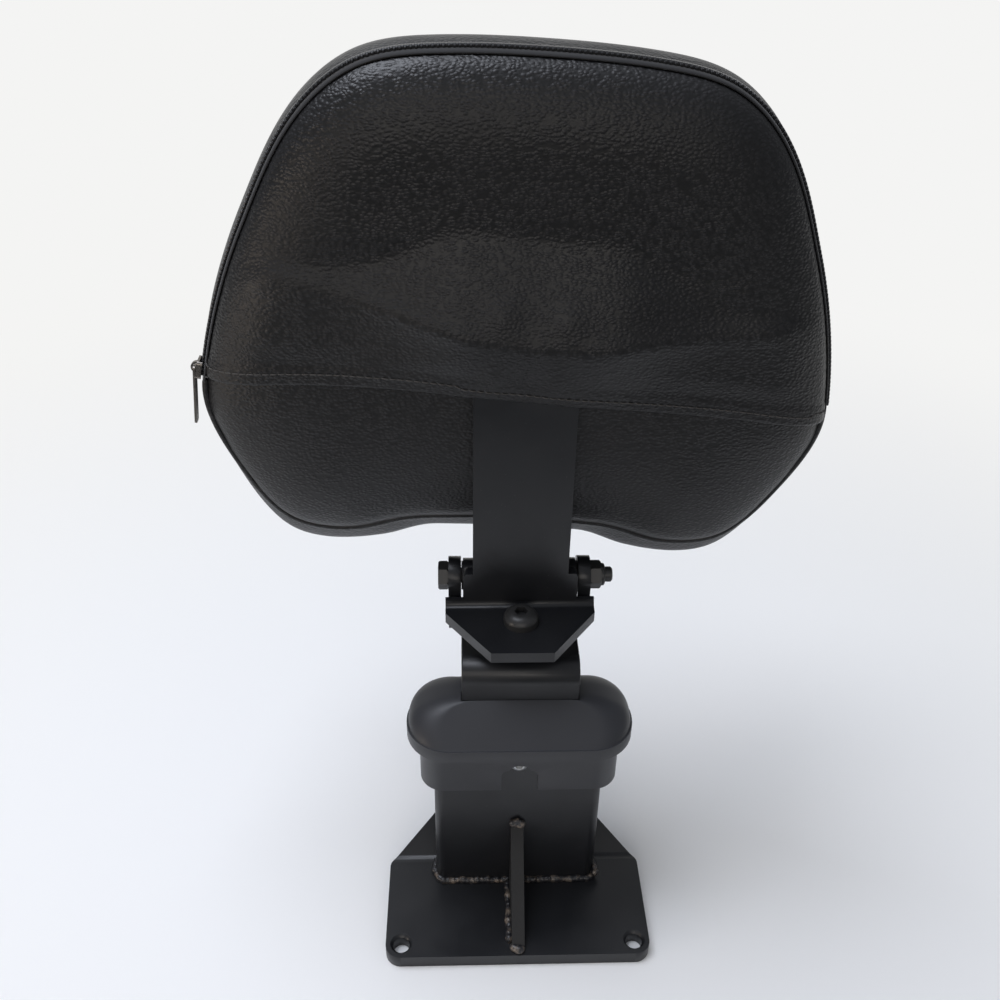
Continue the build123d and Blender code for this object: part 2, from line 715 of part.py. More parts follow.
def pad_body(draw_in=0.0, shift=0.0):
    """Whole pad: a gently domed rear, the seam, sides that bulge and hang below it, and a crowned front."""
    rear, front = seam_forward, pad_front_y - seam_y
    return pad_layers([
        (panel_rear_y + shift, panel_flat_inset + draw_in),
        (panel_rear_y + 0.22 * rear + shift, 30 + draw_in),
        (panel_rear_y + 0.58 * rear + 0.6 * shift, 12 + draw_in),
        (seam_y, draw_in),
        (seam_y + 0.07 * front, draw_in - 2, 0.5, 3, 0.2),
        (seam_y + 0.20 * front, draw_in - 3.8, 2, 6.5, 0.4),
        (seam_y + 0.40 * front, draw_in - 4.5, 4.5, 8, 0.5),
        (seam_y + 0.62 * front, draw_in - 2, 8, 7, 0.5),
        (seam_y + 0.79 * front - 0.5 * shift, draw_in + 5, 12, 4, 0.5),
        (seam_y + 0.91 * front - shift, draw_in + 20, 15, 2, 0.5),
        (pad_front_y - shift, draw_in + 62, 17, 0, 0.5),
    ])


def slab(start_y, end_y):
    """Large block between two depths."""
    return Pos(0, (start_y + end_y) / 2, pad_middle_z) * Box(600, end_y - start_y, 600)


def above_hem():
    """Large block above the flap's curved hem, in the pad's own place."""
    points = [(x, hinge_z + rise) for x, rise in hem_points]
    high = pad_top_z + 50
    sides = Polyline(points[-1], (points[-1][0], high), (points[0][0], high), points[0])
    rear_plane = Plane(origin=(0, seam_y + 50, 0), x_dir=(1, 0, 0), z_dir=(0, -1, 0))
    return extrude(rear_plane * make_face([Spline(*points), sides]), amount=150)


def above_zip_ends():
    """Large block above the two ends of the zip, in the pad's own place."""
    return Pos(0, seam_y, zip_end_z + 200) * Box(500, 400, 400)


def piping_ring():
    """Round piping on the rear side of the seam, below the zip."""
    path = pad_wire(seam_y - piping_diameter / 2 - running_gap, piping_inset)
    section = Plane(origin=path @ 0, z_dir=path % 0) * Circle(piping_diameter / 2)
    return sweep(section, path=path) - above_zip_ends()


def zip_band():
    """Zip chain around the upper part of the seam."""
    low = seam_y - zip_setback - zip_width / 2
    outer = extrude(Face(pad_wire(low, -zip_stand_off - zip_thickness)), amount=zip_width, dir=(0, 1, 0))
    inner = extrude(Face(pad_wire(low - 1, -zip_stand_off)), amount=zip_width + 2, dir=(0, 1, 0))
    return (outer - inner) & above_zip_ends()


def backing_board(fixings):
    """Flat board inside the pad that takes the screws."""
    outline = Face(pad_wire(board_rear_y, board_inset))
    board = turned(extrude(outline, amount=board_thickness, dir=(0, 1, 0)))
    for x, z in fixings:
        board -= rear_rod(tee_barrel + 2 * push_gap, board_rear_y - 1, board_front_y + 1, x, z)
    return board


def tee_nuts(fixings):
    """Flanged nuts pressed into the board from the front."""
    nuts = []
    for x, z in fixings:
        nut = rear_rod(tee_barrel, board_rear_y + 0.5, board_front_y, x, z)
        nut += rear_rod(tee_flange, board_front_y, board_front_y + tee_flange_thickness, x, z)
        nut -= rear_rod(
            fixing_thread + 2 * push_gap, board_rear_y, board_front_y + tee_flange_thickness + 1, x, z
        )
        nuts.append(nut)
    return Compound(children=nuts)


def bar_washers(fixings):
    """Washers between the screw heads and the bar."""
    rings = []
    for x, z in fixings:
        ring = rear_rod(washer_diameter, bar_rear_y - washer_thickness, bar_rear_y, x, z)
        ring -= rear_rod(fixing_thread + 0.4, bar_rear_y - washer_thickness - 1, bar_rear_y + 1, x, z)
        rings.append(ring)
    return Compound(children=rings)


def bar_screws(fixings):
    """Button-head screws through the bar into the board."""
    seat_y = bar_rear_y - washer_thickness
    length = board_front_y + tee_flange_thickness + fixing_tip_out - seat_y
    one = button_screw(fixing_thread, fixing_head, fixing_head_height, length, fixing_socket, 2.0)
    return Compound(children=[Pos(x, seat_y, z) * Rot(90, 0, 0) * one for x, z in fixings])


def foam_core(fixings):
    """Foam that fills the cover around the board."""
    inner = pad_body(skin + pad_fit, skin + pad_fit)
    outline = Face(pad_wire(board_rear_y - 5, board_inset - pad_fit))
    pocket = extrude(outline, amount=board_thickness + 5 + pad_fit, dir=(0, 1, 0))
    core = turned(inner - pocket)
    deep = tee_flange_thickness + fixing_tip_out + 1
    for x, z in fixings:
        core -= rear_rod(tee_flange + 1, board_front_y - 1, board_front_y + deep, x, z)
    return core


def rear_panel(shell, piping, fixings):
    """Rear cover panel of the pad, pinched between the bar and the board."""
    panel = turned((shell & slab(panel_rear_y - 5, seam_y)) - piping)
    for x, z in fixings:
        panel -= rear_rod(fixing_thread + 0.6, panel_rear_y - 1, board_rear_y + 1, x, z)
    return panel


def front_cover(shell):
    """Sewn front panel and side band of the pad."""
    return turned(shell & slab(seam_y, pad_front_y + 5))


def flap_shape(draw_in=0.0, shift=0.0):
    """Filled shape of the zip-on rear flap, from the zip back over the bar."""
    rear_y = bar_rear_y - flap_clear
    rise = seam_y - rear_y
    return pad_layers([
        (seam_y + 5, draw_in + 0.7),
        (seam_y - zip_setback, draw_in + 0.7),
        (seam_y - 0.48 * rise, draw_in + 9),
        (seam_y - 0.72 * rise + 0.6 * shift, draw_in + 28),
        (seam_y - 0.90 * rise + shift, draw_in + 56),
        (rear_y + shift, draw_in + 78),
    ])


def rear_flap(piping):
    """Zip-on rear flap: a bulging sheet that ends in a hem below and hides the screws."""
    sheet = flap_shape() - flap_shape(flap_skin, flap_skin)
    sheet = sheet - pad_body(-pad_fit, -pad_fit) - slab(seam_y - zip_setback, seam_y + 20)
    return turned((sheet & above_hem()) - piping)


def slider_frame():
    """Plane on the zip at the slider: x up the chain, y forwards and z outwards, on the left side."""
    centre = side_centre()
    turn = asin((pad_side_bottom[1] + slider_up - centre[1]) / pad_side_radius)
    x, rise = side_point(turn)
    outward = Vector(-cos(turn), 0, sin(turn))
    along = Vector(sin(turn), 0, cos(turn))
    return Plane(origin=(-x, seam_y - zip_setback, hinge_z + rise), x_dir=along, z_dir=outward)


def zip_slider():
    """Slider that straddles the zip chain, with an arched bail for its pull."""
    frame = slider_frame()
    chain_top = zip_stand_off + zip_thickness
    wall = (slider_width - zip_width) / 2 - slider_gap
    top = chain_top + slider_gap + slider_plate
    base = chain_top - slider_reach
    body = Pos(0, 0, (top + base) / 2) * Box(slider_length, slider_width, top - base)
    body = fillet(body.edges().filter_by(Axis.Z), 1.6)
    channel = Pos(0, 0, (chain_top + slider_gap + base - 1) / 2) * Box(
        slider_length + 2, slider_width - 2 * wall, chain_top + slider_gap - base + 1
    )
    arch = Pos(0, 0, top) * (
        Rot(90, 0, 0) * Cylinder(bail_inner + bail_wire, bail_width)
        - Rot(90, 0, 0) * Cylinder(bail_inner, bail_width + 2)
    )
    arch = arch & Pos(0, 0, top + 5) * Box(20, 20, 10)
    return turned(frame.location * (body - channel + arch))


def pull_pivot():
    """Point about which the pull swings, in the part's frame, with the pad in place."""
    top = zip_stand_off + zip_thickness + slider_gap + slider_plate
    place = slider_frame().location * Pos(0, 0, top + pull_rise)
    return turned(Vertex(0, 0, 0).moved(place)).center()


def zip_pull():
    """Flat pull that hangs from the slider's bail and leans on the zip below it."""
    pivot = pull_pivot()
    bar = 1.2
    window = bail_inner + bail_wire + slider_gap - bar / 2
    plate = Pos(0, 0, bar / 2 - pull_length / 2) * Box(pull_thickness, pull_width, pull_length)
    plate = fillet(plate.edges().filter_by(Axis.X), 1.2)
    opening = Pos(0, 0, -bar / 2 - window / 2) * Box(
        2 * pull_thickness, bail_width + 2 * slider_gap, window
    )
    return Pos(pivot.X, pivot.Y, pivot.Z) * Rot(0, pull_lean, 0) * (plate - opening)


def build_base():
    """Pieces that are bolted or welded to the base plate."""
    plate = base_plate()
    tube = socket_tube(plate)
    rib = gusset_rib()
    foot_bead = socket_weld(plate, tube, rib)
    return {
        "base_plate": plate,
        "socket_tube": tube,
        "gusset_rib": rib,
        "socket_weld": foot_bead,
        "gusset_weld": gusset_weld(foot_bead),
        "top_collar": top_collar(),
        "clamp_screw": clamp_screw(),
    }


def build_mast():
    """Pieces that slide up and down with the mast."""
    return {
        "mast_strip": mast_strip(),
        "left_hinge_ear": hinge_ear(-1),
        "right_hinge_ear": hinge_ear(1),
        "ear_welds": ear_welds(),
        "hinge_bolt": hinge_pin(),
        "hinge_nut": hinge_nut(),
    }


def build_bar():
    """Steel pieces that fold with the pad."""
    fixings = fixing_places()
    return {
        "backrest_bar": backrest_bar(),
        "hinge_barrel": hinge_barrel(),
        "hinge_bushes": hinge_bushes(),
        "barrel_weld": barrel_weld(),
        "tilt_nut": tilt_nut(),
        "tilt_screw": tilt_screw(),
        "bar_washers": bar_washers(fixings),
        "bar_screws": bar_screws(fixings),
        "tee_nuts": tee_nuts(fixings),
    }


def build_pad():
    """Upholstered pad with its board, foam, covers, piping and zip."""
    fixings = fixing_places()
    shell = pad_body() - pad_body(skin, skin)
    piping = piping_ring()
    return {
        "backing_board": backing_board(fixings),
        "foam_core": foam_core(fixings),
        "rear_panel": rear_panel(shell, piping, fixings),
        "front_cover": front_cover(shell),
        "edge_piping": turned(piping),
        "rear_flap": rear_flap(piping),
        "zip_chain": turned(zip_band()),
        "zip_slider": zip_slider(),
        "zip_pull": zip_pull(),
    }


os.makedirs("parts", exist_ok=True)
for group in (build_base, build_mast, build_bar, build_pad):
    for name, shape in group().items():
        export_step(shape, f"parts/{name}.step")
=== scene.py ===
import logging
import math
import random
from abc import ABC, abstractmethod
from dataclasses import dataclass, field
from enum import Enum
from typing import ClassVar

import bmesh
import bpy
import numpy as np
from mathutils import Matrix, Vector


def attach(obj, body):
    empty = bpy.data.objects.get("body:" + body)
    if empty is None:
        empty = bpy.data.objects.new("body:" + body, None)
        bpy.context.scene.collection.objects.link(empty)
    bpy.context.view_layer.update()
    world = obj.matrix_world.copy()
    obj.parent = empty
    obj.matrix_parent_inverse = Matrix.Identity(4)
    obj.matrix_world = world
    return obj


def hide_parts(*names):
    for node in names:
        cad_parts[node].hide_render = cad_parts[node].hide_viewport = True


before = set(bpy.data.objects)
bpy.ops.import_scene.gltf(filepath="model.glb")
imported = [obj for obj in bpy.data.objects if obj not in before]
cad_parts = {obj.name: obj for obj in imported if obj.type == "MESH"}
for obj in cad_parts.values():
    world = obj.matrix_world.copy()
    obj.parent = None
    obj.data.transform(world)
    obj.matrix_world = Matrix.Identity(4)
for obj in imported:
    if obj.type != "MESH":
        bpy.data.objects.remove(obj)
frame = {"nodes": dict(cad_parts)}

log = logging.getLogger("backrest")

# Sizes are in millimetres unless a line says metres; this turns them to metres.
MM = 0.001


class Slot(Enum):
    """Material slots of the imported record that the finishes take."""

    POWDER = "black_powder_coat"
    OXIDE = "black_oxide_steel"
    ZINC = "zinc_plated_steel"
    NICKEL = "nickel_plated_zinc"
    COLLAR = "collar_plastic"
    BUSH = "bush_plastic"
    ZIP = "zip_plastic"
    VINYL = "black_vinyl"
    PLYWOOD = "plywood"


class Body(Enum):
    """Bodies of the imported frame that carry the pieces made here."""

    BASE = "base"
    MAST = "mast"
    BACKREST = "backrest"


def linear(colour: str) -> tuple[float, float, float, float]:
    """Turns an sRGB hex colour into linear values.

    Args:
        colour: a colour such as "#1b1a1c".

    Returns:
        Linear red, green, blue and an alpha of 1.
    """
    parts = [int(colour[i:i + 2], 16) / 255 for i in (1, 3, 5)]
    r, g, b = (c / 12.92 if c <= 0.04045 else ((c + 0.055) / 1.055) ** 2.4 for c in parts)
    return r, g, b, 1.0


def set_inputs(tree: bpy.types.NodeTree, node: bpy.types.Node, inputs: dict) -> None:
    """Sets a node's sockets by name or index, and links those whose value is a socket.

    Args:
        tree: node tree that holds the node.
        node: node whose sockets are set.
        inputs: constant values or sockets by socket name or index.
    """
    for name, value in inputs.items():
        if isinstance(value, bpy.types.NodeSocket):
            tree.links.new(value, node.inputs[name])
        else:
            node.inputs[name].default_value = value


def add_node(
    tree: bpy.types.NodeTree, kind: str, settings: dict | None = None, inputs: dict | None = None,
) -> bpy.types.Node:
    """Adds a shader node with its settings, its constant inputs and its links.

    Args:
        tree: node tree that receives the node.
        kind: the node's type name without its common first part.
        settings: attribute values by name.
        inputs: socket values by name or index; a value that is a socket is linked.

    Returns:
        The new node.
    """
    node = tree.nodes.new("ShaderNode" + kind)
    for name, value in (settings or {}).items():
        setattr(node, name, value)
    set_inputs(tree, node, inputs or {})
    return node


def per_metre(size_mm: float) -> float:
    """Texture scale at which one cell of a pattern measures size_mm."""
    return 1000.0 / size_mm


def ramp(value: bpy.types.NodeSocket, source: tuple, target: tuple) -> dict:
    """Socket values that map the source range of a value to the target range.

    Args:
        value: the value to map.
        source: lowest and highest value that come in.
        target: what they become.

    Returns:
        The values by socket name.
    """
    names = ("From Min", "From Max", "To Min", "To Max")
    return {"Value": value, **dict(zip(names, (*source, *target)))}


@dataclass(frozen=True)
class Clouds:
    """Random cloudy pattern: size of one cloud, layers of finer detail, and how strong they are."""

    size_mm: float
    detail: float
    share: float

    def at(self, place: bpy.types.NodeSocket) -> dict:
        """Socket values that draw the pattern at the given places.

        Args:
            place: the socket with the places.

        Returns:
            The values by socket name.
        """
        return {
            "Vector": place, "Scale": per_metre(self.size_mm), "Detail": self.detail, "Roughness": self.share,
        }


@dataclass(frozen=True)
class Finish(ABC):
    """A surface finish that makes one material and hands it out again when asked.

    In the finishes below, bump is the relief's strength and its depth in millimetres, and spread is how far
    the gloss pattern takes the roughness down and up, over the values in middle.
    """

    name: str
    slot: Slot
    colour: str
    roughness: float
    middle: ClassVar[tuple] = (0.3, 0.7)

    def material(self) -> bpy.types.Material:
        """Makes the finish's material the first time, and finds it again later.

        Returns:
            The material.
        """
        found = bpy.data.materials.get(self.name)
        if found:
            return found
        made = bpy.data.materials.new(self.name)
        made.use_nodes = True
        made.node_tree.nodes.clear()
        shader = add_node(made.node_tree, "BsdfPrincipled")
        add_node(made.node_tree, "OutputMaterial", None, {0: shader.outputs[0]})
        self.fill(made.node_tree, shader)
        return made

    @abstractmethod
    def fill(self, tree: bpy.types.NodeTree, shader: bpy.types.Node) -> None:
        """Sets the shader's sockets and links its patterns.

        Args:
            tree: the material's node tree.
            shader: the material's shader.
        """

    def place(self, tree: bpy.types.NodeTree) -> bpy.types.NodeSocket:
        """Returns the socket with the place on the object, in metres."""
        return add_node(tree, "TexCoord").outputs["Object"]

    def coat(
        self, tree: bpy.types.NodeTree, shader: bpy.types.Node, relief: tuple, gloss: tuple | None = None,
        tint: tuple | None = None, **plain: float,
    ) -> None:
        """Links the relief, the gloss pattern and the tint pattern, and sets what is the same all over.

        Args:
            tree: the material's node tree.
            shader: the material's shader.
            relief: value socket, strength, and depth in millimetres.
            gloss: value socket, and how far it takes the roughness down and up.
            tint: value socket, and the hex colours that it mixes.
            plain: other shader values, by socket name with underscores for spaces.
        """
        height, strength, depth_mm = relief
        values = {"Base Color": linear(self.colour), "Roughness": self.roughness}
        values["Normal"] = add_node(tree, "Bump", None, {
            "Strength": strength, "Distance": depth_mm * MM, "Height": height,
        }).outputs[0]
        if gloss:
            value, less, more = gloss
            spread = ramp(value, self.middle, (self.roughness - less, self.roughness + more))
            values["Roughness"] = add_node(tree, "MapRange", None, spread).outputs["Result"]
        if tint:
            value, first, second = tint
            values["Base Color"] = add_node(tree, "Mix", {"data_type": "RGBA"}, {
                "Factor": value, "A": linear(first), "B": linear(second),
            }).outputs["Result"]
        values.update({name.replace("_", " "): value for name, value in plain.items()})
        set_inputs(tree, shader, values)


@dataclass(frozen=True)
class PowderCoat(Finish):
    """Polyester powder coat, sprayed on steel and baked: an even film with a faint orange peel."""

    haze: Clouds = Clouds(38.0, 4.0, 0.6)
    specks: Clouds = Clouds(0.9, 2.0, 0.5)
    peel: Clouds = Clouds(2.2, 1.0, 0.4)
    speck_range: tuple = (0.70, 0.78)
    speck_share: float = 0.5
    bump: tuple = (0.16, 0.05)
    spread: tuple = (0.05, 0.09)
    dust: str = "#4a4a4c"

    def fill(self, tree: bpy.types.NodeTree, shader: bpy.types.Node) -> None:
        """Sets a dark film whose gloss varies with handling haze and fine dust.

        Args:
            tree: the material's node tree.
            shader: the material's shader.
        """
        place = self.place(tree)
        haze, specks, peel = (
            add_node(tree, "TexNoise", None, clouds.at(place)).outputs["Fac"]
            for clouds in (self.haze, self.specks, self.peel)
        )
        dust = add_node(tree, "MapRange", None, ramp(specks, self.speck_range, (0.0, self.speck_share)))
        tint = (dust.outputs["Result"], self.colour, self.dust)
        self.coat(tree, shader, (peel, *self.bump), (haze, *self.spread), tint, IOR=1.5)


@dataclass(frozen=True)
class WeldCoat(Finish):
    """Powder coat over a hand-laid bead: thin on the ripple crests, where grey and straw show through."""

    patches: Clouds = Clouds(5.0, 5.0, 0.65)
    skin: Clouds = Clouds(1.4, 3.0, 0.6)
    worn_range: tuple = (0.5, 0.64)
    worn_share: float = 0.85
    bump: tuple = (0.5, 0.15)
    bare: str = "#7a6e62"

    def fill(self, tree: bpy.types.NodeTree, shader: bpy.types.Node) -> None:
        """Sets the dark film with worn patches and a fine rough skin.

        Args:
            tree: the material's node tree.
            shader: the material's shader.
        """
        place = self.place(tree)
        patches, skin = (
            add_node(tree, "TexNoise", None, clouds.at(place)).outputs["Fac"]
            for clouds in (self.patches, self.skin)
        )
        worn = add_node(tree, "MapRange", None, ramp(patches, self.worn_range, (0.0, self.worn_share)))
        tint = (worn.outputs["Result"], self.colour, self.bare)
        self.coat(tree, shader, (skin, *self.bump), None, tint, IOR=1.5)


@dataclass(frozen=True)
class MouldedPlastic(Finish):
    """Injection-moulded plastic from a spark-eroded mould: a fine even grain that breaks up the shine.

    The grain is drawn a little coarser than the real one, so that it shows.
    """

    grain: Clouds = Clouds(0.8, 3.0, 0.7)
    flow: Clouds = Clouds(45.0, 3.0, 0.5)
    bump: tuple = (0.45, 0.05)
    spread: tuple = (0.05, 0.06)

    def fill(self, tree: bpy.types.NodeTree, shader: bpy.types.Node) -> None:
        """Sets the grain and the slow change of gloss along the plastic's flow.

        Args:
            tree: the material's node tree.
            shader: the material's shader.
        """
        place = self.place(tree)
        grain, flow = (
            add_node(tree, "TexNoise", None, clouds.at(place)).outputs["Fac"]
            for clouds in (self.grain, self.flow)
        )
        self.coat(tree, shader, (grain, *self.bump), (flow, *self.spread), IOR=1.5)


@dataclass(frozen=True)
class PlatedMetal(Finish):
    """Electroplated steel or zinc alloy: a bright metal skin with fine tumbling marks and dull patches."""

    patches: Clouds = Clouds(4.0, 4.0, 0.6)
    marks: Clouds = Clouds(0.5, 2.0, 0.5)
    bump: tuple = (0.2, 0.03)
    spread: tuple = (0.06, 0.08)
    dull: str = "#8a8680"

    def fill(self, tree: bpy.types.NodeTree, shader: bpy.types.Node) -> None:
        """Sets a metal whose tint and roughness vary from patch to patch.

        Args:
            tree: the material's node tree.
            shader: the material's shader.
        """
        place = self.place(tree)
        patches, marks = (
            add_node(tree, "TexNoise", None, clouds.at(place)).outputs["Fac"]
            for clouds in (self.patches, self.marks)
        )
        tint = (patches, self.colour, self.dull)
        self.coat(tree, shader, (marks, *self.bump), (patches, *self.spread), tint, Metallic=1.0)


@dataclass(frozen=True)
class BlackOxide(Finish):
    """Black oxide on steel, oiled: a thin dark skin with a soft sheen, greyer where tools have touched it."""

    patches: Clouds = Clouds(3.0, 5.0, 0.6)
    worn_range: tuple = (0.55, 0.7)
    worn_share: float = 0.6
    bump: tuple = (0.2, 0.04)
    worn: str = "#3a3a3d"

    def fill(self, tree: bpy.types.NodeTree, shader: bpy.types.Node) -> None:
        """Sets the dark skin with slight wear.

        Args:
            tree: the material's node tree.
            shader: the material's shader.
        """
        patches = add_node(tree, "TexNoise", None, self.patches.at(self.place(tree))).outputs["Fac"]
        worn = add_node(tree, "MapRange", None, ramp(patches, self.worn_range, (0.0, self.worn_share)))
        tint = (worn.outputs["Result"], self.colour, self.worn)
        self.coat(tree, shader, (patches, *self.bump), None, tint, Metallic=0.35)


@dataclass(frozen=True)
class Vinyl(Finish):
    """Upholstery vinyl, embossed with a pebble grain: a soft sheen on the pebbles, and painted shade that
    darkens the creases between them.
    """

    pebble_mm: float = 1.55
    stretch: tuple = (0.78, 1.0, 1.12)
    wander: Clouds = Clouds(7.75, 2.0, 0.5)
    pores: Clouds = Clouds(0.4, 2.0, 0.6)
    tone: Clouds = Clouds(60.0, 4.0, 0.55)
    pore_share: float = 0.12
    wander_share: float = 1.6
    scatter: float = 0.9
    dome_reach: float = 0.78
    spread: tuple = (0.04, 0.07)
    strength: float = 0.85
    depth_mm: float = 0.24
    # Painted shade: the colour that the creases between the pebbles darken to.
    painted_crease_shade: str = "#0b0b0c"

    def fill(self, tree: bpy.types.NodeTree, shader: bpy.types.Node) -> None:
        """Sets the pebble grain as rounded cells, a little longer sideways, with fine pores on top.

        Args:
            tree: the material's node tree.
            shader: the material's shader.
        """
        place = self.place(tree)
        wander, pores, tone = (
            add_node(tree, "TexNoise", None, clouds.at(place))
            for clouds in (self.wander, self.pores, self.tone)
        )
        shift = add_node(tree, "VectorMath", {"operation": "MULTIPLY_ADD"}, {
            0: wander.outputs["Color"], 1: (self.wander_share * self.pebble_mm * MM,) * 3, 2: place,
        })
        longer = add_node(tree, "VectorMath", {"operation": "MULTIPLY"}, {
            0: shift.outputs[0], 1: self.stretch,
        })
        cells = add_node(tree, "TexVoronoi", {"feature": "F1"}, {
            "Vector": longer.outputs[0], "Scale": per_metre(self.pebble_mm), "Randomness": self.scatter,
        })
        dome = add_node(
            tree, "MapRange", {"interpolation_type": "SMOOTHSTEP"},
            ramp(cells.outputs["Distance"], (0.0, self.dome_reach), (1.0, 0.0)),
        ).outputs["Result"]
        height = add_node(tree, "Math", {"operation": "MULTIPLY_ADD"}, {
            0: pores.outputs["Fac"], 1: self.pore_share, 2: dome,
        })
        relief = (height.outputs[0], self.strength, self.depth_mm)
        gloss = (tone.outputs["Fac"], *self.spread)
        # The colour goes from the painted crease shade at the pebbles' edges to the vinyl's own colour on
        # their domes.
        self.coat(tree, shader, relief, gloss, (dome, self.painted_crease_shade, self.colour), IOR=1.45)


@dataclass(frozen=True)
class Twill(Finish):
    """Polyester thread, woven to a dull tape or twisted to a sewing thread: slanting ridges.

    The ridges are drawn wider than the real ones, so that they show. The wave texture turns by wave_turn
    radians in one unit, so the ridges are about 2 pi times thread_mm apart.
    """

    thread_mm: float = 0.7
    ways: tuple = ("Y", "DIAGONAL")
    distortion: float = 0.6
    strength: float = 0.5
    depth_mm: float = 0.12
    sheen: float = 0.15
    wave_turn: ClassVar[float] = 20.0

    def fill(self, tree: bpy.types.NodeTree, shader: bpy.types.Node) -> None:
        """Sets waves of ridges, one for each way that the threads run.

        Args:
            tree: the material's node tree.
            shader: the material's shader.
        """
        place = self.place(tree)
        waves = [
            add_node(tree, "TexWave", {"bands_direction": way}, {
                "Vector": place, "Scale": per_metre(self.thread_mm) / self.wave_turn,
                "Distortion": self.distortion,
            }).outputs["Fac"]
            for way in self.ways
        ]
        height = waves[0]
        for wave in waves[1:]:
            height = add_node(tree, "Math", {"operation": "MAXIMUM"}, {0: height, 1: wave}).outputs[0]
        self.coat(tree, shader, (height, self.strength, self.depth_mm), Sheen_Weight=self.sheen)


@dataclass(frozen=True)
class SawnPlywood(Finish):
    """Birch plywood, sawn and left bare: dull and pale, with short darker fibres."""

    fibre: Clouds = Clouds(3.0, 3.0, 0.6)
    bump: tuple = (0.5, 0.2)
    dark: str = "#7a5a34"

    def fill(self, tree: bpy.types.NodeTree, shader: bpy.types.Node) -> None:
        """Sets a two-tone fibre pattern with a rough skin.

        Args:
            tree: the material's node tree.
            shader: the material's shader.
        """
        fibre = add_node(tree, "TexNoise", None, self.fibre.at(self.place(tree))).outputs["Fac"]
        self.coat(tree, shader, (fibre, *self.bump), None, (fibre, self.colour, self.dark))


# Black powder coat on plate and strip: near black, with broad soft reflections of the room.
POWDER = PowderCoat("powder_coated_steel", Slot.POWDER, "#16171a", 0.34)
# The same coat, darker and matt, on the gusset: the darker colour is painted shade, and the higher roughness
# keeps it from answering the lamps.
SHADED_MATT_POWDER = PowderCoat("shaded_matt_powder_coated_steel", Slot.POWDER, "#0f0f10", 0.62)
# Coated weld beads: lumpy black with small warm bare crests.
WELD = WeldCoat("powder_coated_weld", Slot.POWDER, "#202023", 0.36)
# Oiled black oxide on bolt, nut and screw: dark and satin, with grey edges.
OXIDE = BlackOxide("black_oxide_steel", Slot.OXIDE, "#151517", 0.5)
# Zinc plate on small screws and washers: light, cool metal.
ZINC = PlatedMetal("zinc_plated_steel", Slot.ZINC, "#c3c5c6", 0.3)
# Black nickel on the cast zinc slider and pull: smoky metal that still glints.
NICKEL = PlatedMetal("black_nickel_plated_zinc", Slot.NICKEL, "#6e6862", 0.32)
# Nylon collar: charcoal, a shade paler than the steel, with a soft grey shine on its roof.
COLLAR = MouldedPlastic("moulded_nylon", Slot.COLLAR, "#2b2c30", 0.44)
# Acetal bushes: plain dark grey, a little duller than the collar.
BUSH = MouldedPlastic("moulded_bush", Slot.BUSH, "#2b2b2c", 0.5)
# Moulded zip teeth: black and glossy, so that each tooth catches a point of light.
TEETH = MouldedPlastic("moulded_zip_teeth", Slot.ZIP, "#141416", 0.34)
# Vinyl of the pad: warm black, pebbled, with a low leathery sheen.
VINYL = Vinyl("pebbled_vinyl", Slot.VINYL, "#19181a", 0.42)
# Woven zip tape: a dull herringbone that swallows light.
TAPE = Twill("woven_zip_tape", Slot.ZIP, "#121214", 0.8)
# Bonded sewing thread: twisted, a little paler than the vinyl, so that the stitches read.
THREAD = Twill(
    "sewing_thread", Slot.VINYL, "#3d3a37", 0.5, thread_mm=0.5, ways=("DIAGONAL",), distortion=0.2,
    strength=0.6, depth_mm=0.08, sheen=0.0,
)
# Plywood of the backing board: pale and dull, out of sight in the pad.
PLYWOOD = SawnPlywood("sawn_plywood", Slot.PLYWOOD, "#b08a58", 0.7)


def dress(obj: bpy.types.Object, finish: Finish) -> bpy.types.Object:
    """Gives an object one finish in place of what it had.

    Args:
        obj: the object to dress.
        finish: its finish.

    Returns:
        The same object.
    """
    obj.data.materials.clear()
    obj.data.materials.append(finish.material())
    return obj


def new_object(name: str, data: bpy.types.ID) -> bpy.types.Object:
    """Makes an object from its data and adds it to the scene.

    Args:
        name: the object's name.
        data: its mesh, lamp or camera data.

    Returns:
        The new object.
    """
    obj = bpy.data.objects.new(name, data)
    bpy.context.scene.collection.objects.link(obj)
    return obj


def mesh_object(
    name: str, points: np.ndarray, faces: list, finish: Finish, smooth: bool = True,
) -> bpy.types.Object:
    """Makes a mesh object from points in millimetres.

    Args:
        name: the piece's name.
        points: n by 3 places in millimetres, in the row frame.
        faces: lists of point numbers.
        finish: the piece's finish.
        smooth: whether the faces are shaded smooth.

    Returns:
        The new object.
    """
    mesh = bpy.data.meshes.new(name)
    mesh.from_pydata((np.asarray(points, float) * MM).tolist(), [], faces)
    mesh.validate()
    tidy = bmesh.new()
    tidy.from_mesh(mesh)
    bmesh.ops.recalc_face_normals(tidy, faces=tidy.faces)
    tidy.to_mesh(mesh)
    tidy.free()
    if smooth:
        mesh.shade_smooth()
    else:
        mesh.shade_flat()
    return dress(new_object(name, mesh), finish)


def apply_modifiers(obj: bpy.types.Object) -> None:
    """Bakes an object's modifiers into its mesh.

    Args:
        obj: the object to bake.
    """
    graph = bpy.context.evaluated_depsgraph_get()
    made = bpy.data.meshes.new_from_object(obj.evaluated_get(graph))
    obj.modifiers.clear()
    old = obj.data
    obj.data = made
    made.name = obj.name
    bpy.data.meshes.remove(old)


def round_edges(obj: bpy.types.Object, width_mm: float, segments: int, angle: float) -> bpy.types.Modifier:
    """Adds a bevel on the sharp edges of an object.

    Args:
        obj: the object to round.
        width_mm: the bevel's width in millimetres.
        segments: the number of strips in the bevel.
        angle: an edge is sharp where its faces meet at more than this, in degrees.

    Returns:
        The bevel's modifier.
    """
    bevel = obj.modifiers.new("round_edges", "BEVEL")
    bevel.width = width_mm * MM
    bevel.segments = segments
    bevel.limit_method = "ANGLE"
    bevel.angle_limit = math.radians(angle)
    return bevel


